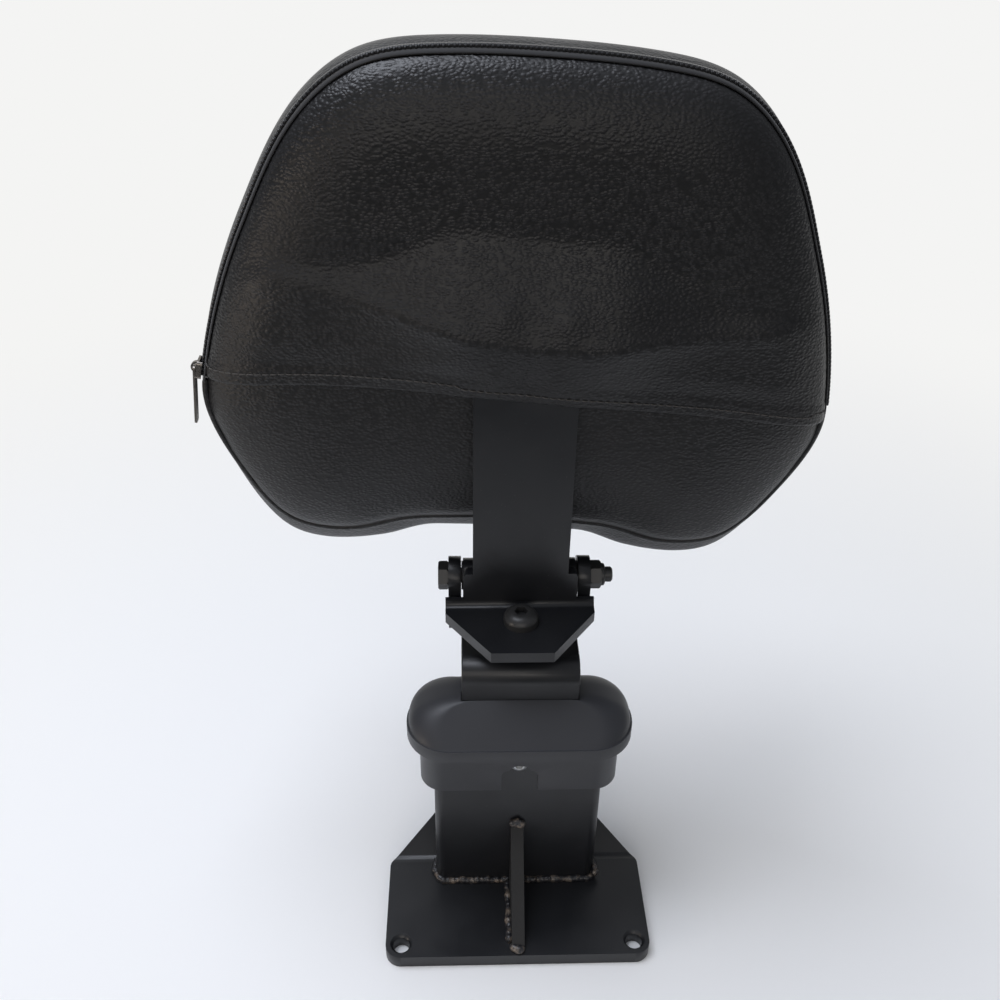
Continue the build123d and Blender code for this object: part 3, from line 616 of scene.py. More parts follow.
def subdivide(obj: bpy.types.Object) -> None:
    """Smooths an object's mesh with one step of subdivision.

    Args:
        obj: the object to smooth.
    """
    modifier = obj.modifiers.new("subdivision", "SUBSURF")
    modifier.levels = modifier.render_levels = 1
    apply_modifiers(obj)


def settle(obj: bpy.types.Object, body: Body, finish: Finish, *nodes: str) -> None:
    """Rides a piece on a body, and lets it stand for CAD nodes.

    Args:
        obj: the piece.
        body: the body that carries it.
        finish: not used.
        nodes: the CAD nodes that it stands for, if any.
    """
    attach(obj, body.value)
    if nodes:
        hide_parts(*nodes)
    log.info("%s rides on %s", obj.name, body.value)


def clamped_spline(points: list, start: tuple, end: tuple, count: int) -> np.ndarray:
    """Samples a smooth curve through points with given directions at its ends.

    Args:
        points: (x, z) places.
        start: unit direction at the first point.
        end: unit direction at the last point.
        count: number of samples for each span.

    Returns:
        Sampled places from the first point to the last.
    """
    p = np.asarray(points, float)
    h = np.linalg.norm(np.diff(p, axis=0), axis=1)
    n = len(p)
    a, b = np.zeros((n, n)), np.zeros((n, 2))
    a[0, 0] = a[-1, -1] = 1
    b[0], b[-1] = start, end
    for i in range(1, n - 1):
        a[i, i - 1], a[i, i], a[i, i + 1] = h[i], 2 * (h[i - 1] + h[i]), h[i - 1]
        b[i] = 3 * (h[i] * (p[i] - p[i - 1]) / h[i - 1] + h[i - 1] * (p[i + 1] - p[i]) / h[i])
    m = np.linalg.solve(a, b)
    out = []
    for i in range(n - 1):
        t = np.linspace(0, 1, count, endpoint=False)[:, None]
        out.append(
            (2 * t ** 3 - 3 * t ** 2 + 1) * p[i] + (t ** 3 - 2 * t ** 2 + t) * h[i] * m[i]
            + (-2 * t ** 3 + 3 * t ** 2) * p[i + 1] + (t ** 3 - t ** 2) * h[i] * m[i + 1]
        )
    return np.vstack(out + [p[-1:]])


def lengths_along(line: np.ndarray) -> np.ndarray:
    """Length of an open line from its start to each of its places."""
    return np.concatenate([[0], np.cumsum(np.linalg.norm(np.diff(line, axis=0), axis=1))])


def sample(values: np.ndarray, along: np.ndarray, want: np.ndarray) -> np.ndarray:
    """Values of a line's columns at wanted lengths, from those at the lengths along it."""
    return np.column_stack([np.interp(want, along, column) for column in values.T])


def even(line: np.ndarray, count: int) -> np.ndarray:
    """Resamples an open line at count evenly spaced places, both ends included."""
    along = lengths_along(line)
    return sample(line, along, np.linspace(0, along[-1], count))


def left_to_right(ring: np.ndarray, keep: np.ndarray) -> np.ndarray:
    """Takes the kept stretch out of a closed line.

    Args:
        ring: places of the closed line, x first.
        keep: whether each place is kept; the kept ones follow one another.

    Returns:
        The kept places in order, from the left end to the right end.
    """
    start = int(np.flatnonzero(keep & ~np.roll(keep, 1))[0])
    chosen = np.roll(ring, -start, 0)[:int(keep.sum())]
    return chosen if chosen[0, 0] < chosen[-1, 0] else chosen[::-1]


def smooth_step(value: np.ndarray) -> np.ndarray:
    """Eases a value between 0 and 1 with flat ends."""
    t = np.clip(value, 0, 1)
    return t * t * (3 - 2 * t)


@dataclass
class PadOutline:
    """Seam line of the pad in its own upright place, and its roll to its place on the bar."""

    turn: float = 3.3
    turn_z: float = 320.0
    middle_z: float = 325.0
    half_width: float = 148.0
    half_height: float = 115.0
    crown: tuple = (0.0, 446.0)
    top_points: tuple = ((48.0, 444.0), (75.0, 438.0), (95.0, 423.5), (112.5, 398.0))
    side_top: tuple = (125.5, 369.0)
    side_bottom: tuple = (147.0, 292.0)
    side_radius: float = 300.0
    low_points: tuple = ((143.5, 268.0), (133.5, 247.0), (121.5, 228.0), (107.5, 215.5))
    lobe: tuple = (92.0, 211.5)
    recess_points: tuple = ((74.0, 212.5), (55.0, 218.5), (30.0, 221.5))
    low_middle: tuple = (0.0, 223.0)
    hem: tuple = (
        (-160.0, 295.0), (-100.0, 302.5), (-55.0, 305.0), (0.0, 303.5), (82.0, 297.5), (160.0, 288.0),
    )
    seam_y: float = 100.0
    zip_end_z: float = 293.0
    recess_below: float = 60.0
    beside_from: float = 36.0
    beside_run: float = 26.0

    def side_centre(self) -> tuple[float, float]:
        """Centre (x, z) of the right side's arc.

        Returns:
            The x and z of the centre.
        """
        (tx, tz), (lx, lz) = self.side_top, self.side_bottom
        chord = math.hypot(lx - tx, lz - tz)
        rise = math.sqrt(self.side_radius ** 2 - (chord / 2) ** 2)
        return (tx + lx) / 2 + rise * (lz - tz) / chord, (tz + lz) / 2 - rise * (lx - tx) / chord

    def half(self) -> np.ndarray:
        """Right half of the seam line, from the crown round to the middle of the lower edge.

        Returns:
            Its (x, z) places.
        """
        cx, cz = self.side_centre()
        turns = [math.asin((z - cz) / self.side_radius) for _, z in (self.side_top, self.side_bottom)]
        arc = np.array([
            (cx + self.side_radius * math.cos(t), cz + self.side_radius * math.sin(t))
            for t in np.linspace(turns[0], turns[1], 40)
        ])
        tangents = [(math.sin(t), -math.cos(t)) for t in turns]
        upper = clamped_spline([self.crown, *self.top_points, self.side_top], (1, 0), tangents[0], 24)
        lower = clamped_spline(
            [self.side_bottom, *self.low_points, self.lobe, *self.recess_points, self.low_middle],
            tangents[1], (-1, 0), 16,
        )
        return np.vstack([upper[:-1], arc[:-1], lower])

    def loop(self) -> np.ndarray:
        """Whole seam line, clockwise from the crown as seen from behind, closed by its first point.

        Returns:
            Its (x, z) places.
        """
        right = self.half()
        left = right[::-1] * (-1, 1)
        return np.vstack([right, left[1:]])

    def inset(
        self, line: np.ndarray, amount: float, drop: float = 0.0, low: float = 0.0, fill: float = 0.0,
        lobes: float = 0.0,
    ) -> np.ndarray:
        """Draws an outline in, as the CAD sections are.

        Args:
            line: (x, z) places on the seam line.
            amount: how far it is drawn in.
            drop: how far its upper half is lowered.
            low: how far its lower half is lowered.
            fill: share by which the recess between the lobes is filled up.
            lobes: how much lower still the lobes hang on both sides of the hinge.

        Returns:
            The changed (x, z) places.
        """
        x, z = line[:, 0], line[:, 1]
        recess = (z < self.middle_z - self.recess_below) & (np.abs(x) < self.lobe[0])
        z = z - fill * np.where(recess, np.clip(z - self.lobe[1], 0, None), 0)
        wide, tall = 1 - amount / self.half_width, 1 - amount / self.half_height
        up = np.clip((z - self.middle_z) / (self.crown[1] - self.middle_z), 0, None)
        down = np.clip((self.middle_z - z) / (self.middle_z - self.lobe[1]), 0, None)
        beside = smooth_step((np.abs(x) - self.beside_from) / self.beside_run) * np.clip(down, 0, 1) ** 2
        height = (z - self.middle_z) * tall - drop * up - low * down - lobes * beside
        return np.column_stack([x * wide, self.middle_z + height])

    def rolled(self, points: np.ndarray) -> np.ndarray:
        """Turns (x, y, z) places to the pad's place on the bar.

        Args:
            points: n by 3 places in the pad's own upright place.

        Returns:
            The turned places.
        """
        a = math.radians(self.turn)
        out = np.array(points, float)
        x, z = out[:, 0].copy(), out[:, 2] - self.turn_z
        out[:, 0] = x * math.cos(a) + z * math.sin(a)
        out[:, 2] = self.turn_z - x * math.sin(a) + z * math.cos(a)
        return out

    def on_bar(self, x: np.ndarray, z: np.ndarray) -> tuple[np.ndarray, np.ndarray]:
        """Places of the pad's own (x, z) points on the upright bar, which the pad is turned against.

        Args:
            x: the points' x in the pad's own place.
            z: the points' z in the pad's own place.

        Returns:
            The same points as x and z of the bar.
        """
        a = math.radians(self.turn)
        up = z - self.turn_z
        return x * math.cos(a) - up * math.sin(a), self.turn_z + x * math.sin(a) + up * math.cos(a)

    def hem_line(self, count: int) -> np.ndarray:
        """Flap's hem from left to right.

        Args:
            count: number of places.

        Returns:
            Its (x, z) places.
        """
        p = np.asarray(self.hem, float)
        first, last = ((b - a) / np.linalg.norm(b - a) for a, b in ((p[0], p[1]), (p[-2], p[-1])))
        return even(clamped_spline(p, tuple(first), tuple(last), 24), count)


def coons(bottom: np.ndarray, top: np.ndarray, left: np.ndarray, right: np.ndarray) -> np.ndarray:
    """Fills four boundary lines with a grid of places.

    Args:
        bottom: lower line, from left to right.
        top: upper line, from left to right.
        left: left line, from bottom to top.
        right: right line, from bottom to top.

    Returns:
        Places by row and column.
    """
    u = np.linspace(0, 1, len(bottom))[None, :, None]
    v = np.linspace(0, 1, len(left))[:, None, None]
    ruled_v = (1 - v) * bottom[None] + v * top[None]
    ruled_u = (1 - u) * left[:, None] + u * right[:, None]
    corners = (
        (1 - u) * (1 - v) * bottom[0] + u * (1 - v) * bottom[-1] + (1 - u) * v * top[0] + u * v * top[-1]
    )
    return ruled_v + ruled_u - corners


def grid_faces(rows: int, columns: int, start: int = 0) -> list:
    """Quads of a grid whose points are numbered row by row from start.

    Args:
        rows: rows of points.
        columns: points in a row.
        start: number of the first point.

    Returns:
        Lists of four point numbers.
    """
    return [
        [start + r * columns + c, start + r * columns + c + 1,
         start + (r + 1) * columns + c + 1, start + (r + 1) * columns + c]
        for r in range(rows - 1) for c in range(columns - 1)
    ]


def distance_to(points: np.ndarray, line: np.ndarray) -> np.ndarray:
    """Distance in the plane from each point to the nearest sample of a dense line.

    Args:
        points: places in an array of any shape with two numbers each.
        line: n by 2 places on the line.

    Returns:
        A distance for each point.
    """
    flat = points.reshape(-1, 2)
    out = np.empty(len(flat))
    batch = 2000
    for start in range(0, len(flat), batch):
        part = flat[start:start + batch]
        out[start:start + batch] = np.sqrt(((part[:, None] - line[None]) ** 2).sum(-1)).min(1)
    return out.reshape(points.shape[:-1])


def ring_faces(sides: int, rings: int, closed: bool = False) -> list:
    """Quads between rings of points, with a cap on both ends unless the rings close on themselves.

    Args:
        sides: points in a ring.
        rings: number of rings.
        closed: whether the last ring joins the first.

    Returns:
        Lists of point numbers.
    """
    faces = []
    for r in range(rings if closed else rings - 1):
        a, b = r * sides, (r + 1) % rings * sides
        faces += [[a + k, a + (k + 1) % sides, b + (k + 1) % sides, b + k] for k in range(sides)]
    if not closed:
        faces += [list(range(sides))[::-1], list(range((rings - 1) * sides, rings * sides))]
    return faces


def tube(path: np.ndarray, radius: float, sides: int, closed: bool = False) -> tuple[np.ndarray, list]:
    """Round tube along a path.

    Args:
        path: n by 3 places in millimetres.
        radius: tube radius in millimetres.
        sides: points around the tube.
        closed: whether the path joins its start.

    Returns:
        Points and faces; an open tube has domed ends.
    """
    path = np.asarray(path, float)
    ahead = np.roll(path, -1, 0) - np.roll(path, 1, 0)
    if not closed:
        ahead[0], ahead[-1] = path[1] - path[0], path[-1] - path[-2]
    ahead /= np.linalg.norm(ahead, axis=1)[:, None]
    side = np.cross(ahead, (0, 1, 0))
    side /= np.linalg.norm(side, axis=1)[:, None]
    up = np.cross(side, ahead)
    turns = np.linspace(0, 2 * math.pi, sides, endpoint=False)
    rings = [
        path[i] + radius * (np.outer(np.cos(turns), side[i]) + np.outer(np.sin(turns), up[i]))
        for i in range(len(path))
    ]
    if not closed:
        for end, way in ((0, -1), (-1, 1)):
            cap = [
                path[end] + way * radius * rise * ahead[end]
                + radius * wide * (np.outer(np.cos(turns), side[end]) + np.outer(np.sin(turns), up[end]))
                for rise, wide in ((0.6, 0.8), (0.95, 0.31))
            ]
            rings = (cap[::-1] + rings) if end == 0 else (rings + cap)
    return np.vstack(rings), ring_faces(sides, len(rings), closed)


def joined(parts: list) -> tuple[np.ndarray, list]:
    """Joins several (points, faces) pairs into one.

    Args:
        parts: (points, faces) pairs.

    Returns:
        All points, and all faces numbered on from one another.
    """
    points, faces, start = [], [], 0
    for p, f in parts:
        points.append(p)
        faces += [[start + i for i in face] for face in f]
        start += len(p)
    return np.vstack(points), faces


@dataclass
class SteelWork:
    """Plates, tube, mast, bar and hinge: CAD nodes that keep their shape and get edges and finishes."""

    edge_mm: float = 0.7
    edge_angle: float = 40.0
    join_mm: float = 0.001
    plates: tuple = (
        "base_plate", "socket_tube", "mast_strip", "left_hinge_ear", "right_hinge_ear", "backrest_bar",
    )
    # The gusset takes the darker coat, whose colour is painted shade.
    shaded_matt_plates: tuple = ("gusset_rib",)
    coated: tuple = ("hinge_barrel", "tilt_nut")
    oxide: tuple = ("hinge_bolt", "hinge_nut", "tilt_screw")
    zinc: tuple = ("clamp_screw", "bar_washers", "bar_screws", "tee_nuts")

    def soften(self, obj: bpy.types.Object) -> None:
        """Rounds a CAD node's sharp edges with modifiers, which leave its own mesh alone.

        Args:
            obj: the node's object.
        """
        obj.modifiers.new("join_faces", "WELD").merge_threshold = self.join_mm * MM
        round_edges(obj, self.edge_mm, 2, self.edge_angle).harden_normals = True

    def build(self) -> None:
        """Dresses every steel node and the bushes."""
        nodes = frame["nodes"]
        finishes = (
            (POWDER, self.plates), (SHADED_MATT_POWDER, self.shaded_matt_plates), (POWDER, self.coated),
            (OXIDE, self.oxide), (ZINC, self.zinc), (BUSH, ("hinge_bushes",)),
        )
        for finish, names in finishes:
            for name in names:
                dress(nodes[name], finish)
            log.info("%s: %s", finish.name, ", ".join(names))
        for name in self.plates + self.shaded_matt_plates:
            self.soften(nodes[name])


@dataclass
class Collar:
    """Moulded collar: upright rim, roof with a flat rear slope and rounded ends, skirt with its notch.

    A size of three numbers is width, depth or height, and corner radius.
    """

    middle_y: float = 48.0
    cap: tuple = (117.0, 47.0, 22.5)
    skirt: tuple = (104.0, 34.0, 13.0)
    cavity: tuple = (97.0, 27.0, 9.5)
    tower: tuple = (90.0, 16.0, 5.0)
    sleeve: tuple = (84.6, 10.6, 2.5)
    slot: tuple = (60.5, 6.5, 0.4)
    notch: tuple = (19.0, 29.0, 4.0)
    screw_bore: tuple = (12.4, 12.4, 6.19)
    screw_z: float = 106.0
    skirt_z: float = 94.0
    cap_z: float = 122.0
    rim_z: float = 129.5
    ledge: float = 0.9
    roof_rise: float = 16.5
    roof_sides: float = 36.0
    roof_rear: float = 19.9
    roof_front: float = 14.2
    top_corner: float = 5.5
    tower_z: tuple = (124.02, 128.0)
    sleeve_z: float = 84.0
    roof_rows: int = 26
    corner_points: int = 13
    overlap: float = 1.0
    cut_out: float = 3.0
    cut_in: float = 9.0
    edge_mm: float = 0.45
    edge_angle: float = 32.0
    crease_angle: float = 38.0

    def loop(self, size: tuple, z: float, shift: float = 0.0) -> np.ndarray:
        """Rounded rectangle (width, depth, corner) around the collar's middle at one height.

        Args:
            size: width, depth and corner radius.
            z: its height.
            shift: how far its middle is moved forwards.

        Returns:
            n by 3 places in millimetres.
        """
        width, depth, corner = size
        points = []
        for k, (sx, sy) in enumerate(((1, 1), (-1, 1), (-1, -1), (1, -1))):
            cx, cy = sx * (width / 2 - corner), sy * (depth / 2 - corner)
            for t in np.linspace(0, math.pi / 2, self.corner_points) + k * math.pi / 2:
                y = self.middle_y + shift + cy + corner * math.sin(t)
                points.append((cx + corner * math.cos(t), y, z))
        return np.array(points)

    def stack(self, name: str, loops: list) -> bpy.types.Object:
        """Closed solid through a pile of loops.

        Args:
            name: the solid's name.
            loops: loops of places, all with the same number of them.

        Returns:
            The new object.
        """
        return mesh_object(name, np.vstack(loops), ring_faces(len(loops[0]), len(loops)), COLLAR)

    def block(self, name: str, size: tuple, low: float, high: float) -> bpy.types.Object:
        """Upright solid of one rounded rectangle between two heights."""
        return self.stack(name, [self.loop(size, z) for z in (low, high)])

    def roof(self) -> list:
        """Loops of the roof: a flat slope at the rear, quarter ellipses at the ends and the front.

        Returns:
            The loops from the rim to the top.
        """
        loops = []
        for k in range(self.roof_rows + 1):
            up = math.sin(math.pi / 2 * k / self.roof_rows)
            bow = 1 - math.sqrt(1 - up * up)
            rear = self.ledge + self.roof_rear * up
            front = self.ledge * (1 - up) + self.roof_front * bow
            sides = self.ledge * (1 - up) + self.roof_sides * bow
            corner = self.cap[2] - self.ledge + (self.top_corner - self.cap[2] + self.ledge) * up
            size = (self.cap[0] - 2 * sides, self.cap[1] - rear - front, corner)
            loops.append(self.loop(size, self.rim_z + self.roof_rise * up, (rear - front) / 2))
        return loops

    def rear_opening(self, size: tuple, z: float) -> bpy.types.Object:
        """Solid that cuts an opening in the skirt's rear wall.

        Args:
            size: width, height and corner radius of the opening.
            z: height of its middle.

        Returns:
            The solid.
        """
        flat = self.loop(size, 0.0)
        rear = self.middle_y - self.skirt[1] / 2
        return self.stack("opening", [
            np.column_stack([flat[:, 0], np.full(len(flat), y), z + flat[:, 1] - self.middle_y])
            for y in (rear - self.cut_out, rear + self.cut_in)
        ])

    def cut(self, body: bpy.types.Object, tool: bpy.types.Object, way: str) -> None:
        """Adds or takes away one solid and removes the tool.

        Args:
            body: the moulding.
            tool: the solid that is added or taken away.
            way: UNION or DIFFERENCE.
        """
        step = body.modifiers.new("cut", "BOOLEAN")
        step.operation = way
        step.solver = "EXACT"
        step.object = tool
        apply_modifiers(body)
        mesh = tool.data
        bpy.data.objects.remove(tool)
        bpy.data.meshes.remove(mesh)

    def build(self) -> None:
        """Builds the moulding from its solids, rounds its edges and lets it stand for the CAD node."""
        body = self.stack(
            "collar_moulding", [*(self.loop(self.cap, z) for z in (self.cap_z, self.rim_z)), *self.roof()],
        )
        low, high = self.tower_z
        top = self.rim_z + self.roof_rise + self.cut_out
        for name, size, bottom, end, way in (
            ("skirt", self.skirt, self.skirt_z, self.cap_z + self.overlap, "UNION"),
            ("hollow", self.cavity, self.skirt_z - self.overlap, high, "DIFFERENCE"),
            ("tower", self.tower, low, high + self.overlap, "UNION"),
            ("sleeve", self.sleeve, self.sleeve_z, low + self.overlap, "UNION"),
            ("slot", self.slot, self.sleeve_z - self.overlap, top, "DIFFERENCE"),
        ):
            self.cut(body, self.block(name, size, bottom, end), way)
        for size, z in ((self.notch, self.skirt_z), (self.screw_bore, self.screw_z)):
            self.cut(body, self.rear_opening(size, z), "DIFFERENCE")
        round_edges(body, self.edge_mm, 3, self.edge_angle)
        apply_modifiers(body)
        body.data.shade_smooth()
        body.data.set_sharp_from_angle(angle=math.radians(self.crease_angle))
        settle(body, Body.BASE, COLLAR, "top_collar")


@dataclass
class WeldBeads:
    """Hand-laid weld beads: overlapping puddles fused into one rippled bead."""

    pitch: float = 2.6
    voxel: float = 0.55
    wander: float = 0.25
    seed: int = 11
    tube_rear: float = 40.0
    tube_front: float = 56.0
    tube_side: float = 45.0
    tube_corner: float = 5.0
    foot_z: float = 9.2
    foot_radius: float = 2.3
    foot_flat: tuple = (1.0, 1.0, 0.95)
    strip_radius: float = 1.7
    even_round: tuple = (1.0, 1.0, 1.0)
    corner_lumps: tuple = (
        ((45.6, 41.0, 12.5), 2.6, (1.0, 1.0, 1.0)), ((45.4, 41.6, 15.8), 2.1, (0.8, 1.0, 1.0)),
    )
    gusset_path: tuple = ((-4.6, 1.5, 9.0), (-4.5, 36.0, 9.0))
    gusset_flat: tuple = (0.9, 1.0, 1.0)
    gusset_lumps: tuple = (
        ((-1.5, 39.0, 58.2), 2.9, (1.0, 0.8, 1.0)), ((1.8, 38.8, 57.6), 2.8, (1.0, 0.8, 1.0)),
        ((0.2, 38.6, 60.0), 2.2, (1.0, 0.8, 1.0)), ((0.2, -5.6, 9.4), 3.0, (1.1, 0.9, 0.8)),
        ((-2.4, -4.4, 9.4), 2.4, (1.0, 1.0, 0.9)),
    )
    ear_line: tuple = ((29.2, 82.0, 166.8), (29.2, 98.5, 166.8))
    barrel_line: tuple = ((-25.0, 82.6, 191.0), (25.0, 82.6, 191.0))
    barrel_reach: float = 5.2

    def puddles(self, path: np.ndarray, radius: float, flatten: tuple, rng: random.Random) -> list:
        """Sets the puddles along a path.

        Args:
            path: places of the bead's line.
            radius: mean radius of a puddle.
            flatten: its share of the radius along each axis.
            rng: source of the small random differences.

        Returns:
            The centre, radius and flattening of each puddle.
        """
        spots = even(path, max(2, int(lengths_along(path)[-1] / self.pitch) + 1))
        return [
            (
                spot + [rng.uniform(-self.wander, self.wander) for _ in range(3)],
                radius * rng.uniform(0.85, 1.15), flatten,
            )
            for spot in spots
        ]

    def bead(self, name: str, spots: list) -> bpy.types.Object:
        """Fuses puddles into one closed mesh.

        Args:
            name: the bead's name.
            spots: centre, radius and flattening of each puddle.

        Returns:
            The new object.
        """
        shape = bmesh.new()
        for centre, radius, flatten in spots:
            place = Matrix.Translation(Vector(centre) * MM) @ Matrix.Diagonal((*flatten, 1))
            bmesh.ops.create_icosphere(shape, subdivisions=3, radius=radius * MM, matrix=place)
        mesh = bpy.data.meshes.new(name)
        shape.to_mesh(mesh)
        shape.free()
        obj = new_object(name, mesh)
        remesh = obj.modifiers.new("fuse", "REMESH")
        remesh.mode = "VOXEL"
        remesh.voxel_size = self.voxel * MM
        relax = obj.modifiers.new("relax", "SMOOTH")
        relax.iterations = 2
        relax.factor = 0.5
        apply_modifiers(obj)
        obj.data.shade_smooth()
        return dress(obj, WELD)

    def build(self) -> None:
        """Builds the foot bead, the gusset's beads, and the beads of the ears and the barrel."""
        rng = random.Random(self.seed)
        side, corner, z = self.tube_side, self.tube_corner, self.foot_z
        rear, front = self.tube_rear, self.tube_front
        left = np.array([
            (-side + 2, rear + 1, z), (-side - 0.6, rear + 5, z), (-side - 0.6, front - 5, z + 0.4),
            (-side + 2, front - 1, z + 0.8),
        ])
        spots = []
        for path in (
            [(-side + corner - 1, rear - 0.6, z), (-4.6, rear - 0.6, z)],
            [(4.6, rear - 0.6, z), (side - corner + 1, rear - 0.6, z)],
            left, left * (-1, 1, 1),
            [(-side + corner, front + 0.4, z + 1), (side - corner, front + 0.4, z + 1)],
        ):
            spots += self.puddles(np.array(path), self.foot_radius, self.foot_flat, rng)
        settle(self.bead("foot_bead", [*spots, *self.corner_lumps]), Body.BASE, WELD, "socket_weld")

        spots = self.puddles(np.array(self.gusset_path), self.foot_radius, self.gusset_flat, rng)
        settle(self.bead("gusset_bead", [*spots, *self.gusset_lumps]), Body.BASE, WELD, "gusset_weld")

        ears = [np.array(self.ear_line) * (way, 1, 1) for way in (-1, 1)]
        barrel = [np.array(self.barrel_line) + (0, 0, way * self.barrel_reach) for way in (-1, 1)]
        for name, lines, body, node in (
            ("ear_beads", ears, Body.MAST, "ear_welds"),
            ("barrel_beads", barrel, Body.BACKREST, "barrel_weld"),
        ):
            spots = []
            for line in lines:
                spots += self.puddles(line, self.strip_radius, self.even_round, rng)
            settle(self.bead(name, spots), body, WELD, node)


@dataclass
class Pad:
    """Cushion of the pad: front panel, bulging side band and rear panel, swollen by a short cloth run.

    A row of band_steps is a share of the way from the rear seam to the front one, and the outline's inset
    values there.
    """

    outline: PadOutline = field(default_factory=PadOutline)
    across: int = 60
    along: int = 46
    front_seam_y: float = 139.5
    front_seam: tuple = (1.8, 10.0, 5.5, 0.5, 3.0)
    band_steps: tuple = (
        (0.0, 0.0, 0.0, 0.0, 0.0, 0.0), (0.10, -2.0, 0.5, 3.0, 0.2, 3.0), (0.28, -3.8, 2.0, 6.5, 0.5, 6.0),
        (0.56, -4.5, 4.5, 8.0, 0.6, 6.0), (0.86, -2.0, 8.0, 7.0, 0.5, 4.0), (1.0, 1.8, 10.0, 5.5, 0.5, 3.0),
    )
    crown_height: float = 14.5
    crown_run: float = 46.0
    rear_flat_y: float = 81.3
    rear_run: float = 50.0
    band_rows: int = 12
    band_bulge: float = 0.6
    frames: int = 20
    pressure: float = 4.0
    cap_mm: float = 5.0
    piping_radius: float = 1.7
    piping_y: float = 97.9
    piping_in: float = 0.4
    front_piping_radius: float = 1.6
    front_piping_on: float = 0.2
    piping_sides: int = 12
    marks: tuple = ((-88.0, 427.5), (88.0, 427.5), (117.0, 221.0), (-117.0, 221.0))
    edge_samples: int = 240
    seam_samples: int = 420
    bar_strip: float = 34.0
    flap_depth: float = 42.0
    flap_above: float = 300.0

    def corners(self) -> list:
        """Four stretches of the seam line: top, right, bottom and left, each clockwise as seen from behind.

        Returns:
            The (x, z) places of the four stretches.
        """
        ring = self.outline.loop()[:-1]
        spots = [int(np.argmin(((ring - m) ** 2).sum(1))) for m in self.marks]
        counts = (self.across, self.along, self.across, self.along)
        parts = []
        for a, b, count in zip(spots, spots[1:] + spots[:1], counts):
            part = ring[a:b + 1] if a <= b else np.vstack([ring[a:], ring[:b + 1]])
            parts.append(even(part, count + 1))
        return parts

    def ring(self) -> np.ndarray:
        """Closed seam line at the mesh's own sampling, without its repeated end."""
        return np.vstack([part[:-1] for part in self.corners()])

    def panel(self, *change: float) -> tuple[np.ndarray, np.ndarray]:
        """Grid of (x, z) places over the pad, and each place's distance from the edge.

        Args:
            change: the outline's inset values.

        Returns:
            The grid and the distances.
        """
        top, right, bottom, left = (self.outline.inset(p, *change) for p in self.corners())
        grid = coons(bottom[::-1], top, left, right[::-1])
        edge = np.vstack([even(p, self.edge_samples) for p in (top, right, bottom, left)])
        return grid, distance_to(grid, edge)

    def build_cushion(self) -> bpy.types.Object:
        """Builds the closed cushion, swells it and returns it.

        Returns:
            The cushion's object.
        """
        line = self.outline
        front, front_d = self.panel(*self.front_seam)
        reach = np.clip(front_d / self.crown_run, 0, 1)
        front_y = self.front_seam_y + self.crown_height * np.sqrt(1 - (1 - reach) ** 2)
        rear, rear_d = self.panel(0.0)
        reach = np.clip(rear_d / self.rear_run, 0, 1)
        rear_y = line.seam_y - (line.seam_y - self.rear_flat_y) * np.sqrt(1 - (1 - reach) ** 1.8)
        rows, columns = front.shape[:2]
        front_points = np.dstack([front[..., 0], front_y, front[..., 1]]).reshape(-1, 3)
        rear_points = np.dstack([rear[..., 0], rear_y, rear[..., 1]]).reshape(-1, 3)
        band = []
        base = self.ring()
        steps = np.array(self.band_steps)
        for k in range(1, self.band_rows):
            t = k / self.band_rows
            amount, *rest = (float(np.interp(t, steps[:, 0], column)) for column in steps[:, 1:].T)
            loop = line.inset(base, amount - self.band_bulge * math.sin(math.pi * t), *rest)
            y = line.seam_y + (self.front_seam_y - line.seam_y) * t
            band.append(np.column_stack([loop[:, 0], np.full(len(loop), y), loop[:, 1]]))
        size = rows * columns
        points = np.vstack([front_points, rear_points, *band])
        faces = grid_faces(rows, columns) + [f[::-1] for f in grid_faces(rows, columns, size)]
        count = len(base)
        rings = [self.rim(rows, columns, size)]
        rings += [list(range(2 * size + k * count, 2 * size + (k + 1) * count)) for k in range(len(band))]
        rings += [self.rim(rows, columns, 0)]
        for a, b in zip(rings, rings[1:]):
            faces += [[a[i], a[(i + 1) % count], b[(i + 1) % count], b[i]] for i in range(count)]
        obj = mesh_object("pad_cushion", line.rolled(points), faces, VINYL)
        held = set(rings[0]) | set(rings[-1])
        pressed = [size + i for i in np.flatnonzero(
            (np.abs(rear_points[:, 0]) < self.bar_strip)
            | (rear_d.reshape(-1) > self.flap_depth) & (rear_points[:, 2] > self.flap_above)
        )]
        self.swell(obj, held, pressed)
        subdivide(obj)
        return obj

    def rim(self, rows: int, columns: int, start: int) -> list:
        """Numbers of a grid's rim points, in the order of the seam line's four stretches.

        Args:
            rows: rows of the grid.
            columns: points in a row.
            start: number of the grid's first point.

        Returns:
            The point numbers.
        """
        grid = np.arange(rows * columns).reshape(rows, columns) + start
        return np.concatenate([grid[-1, :-1], grid[:0:-1, -1], grid[0, :0:-1], grid[:-1, 0]]).tolist()

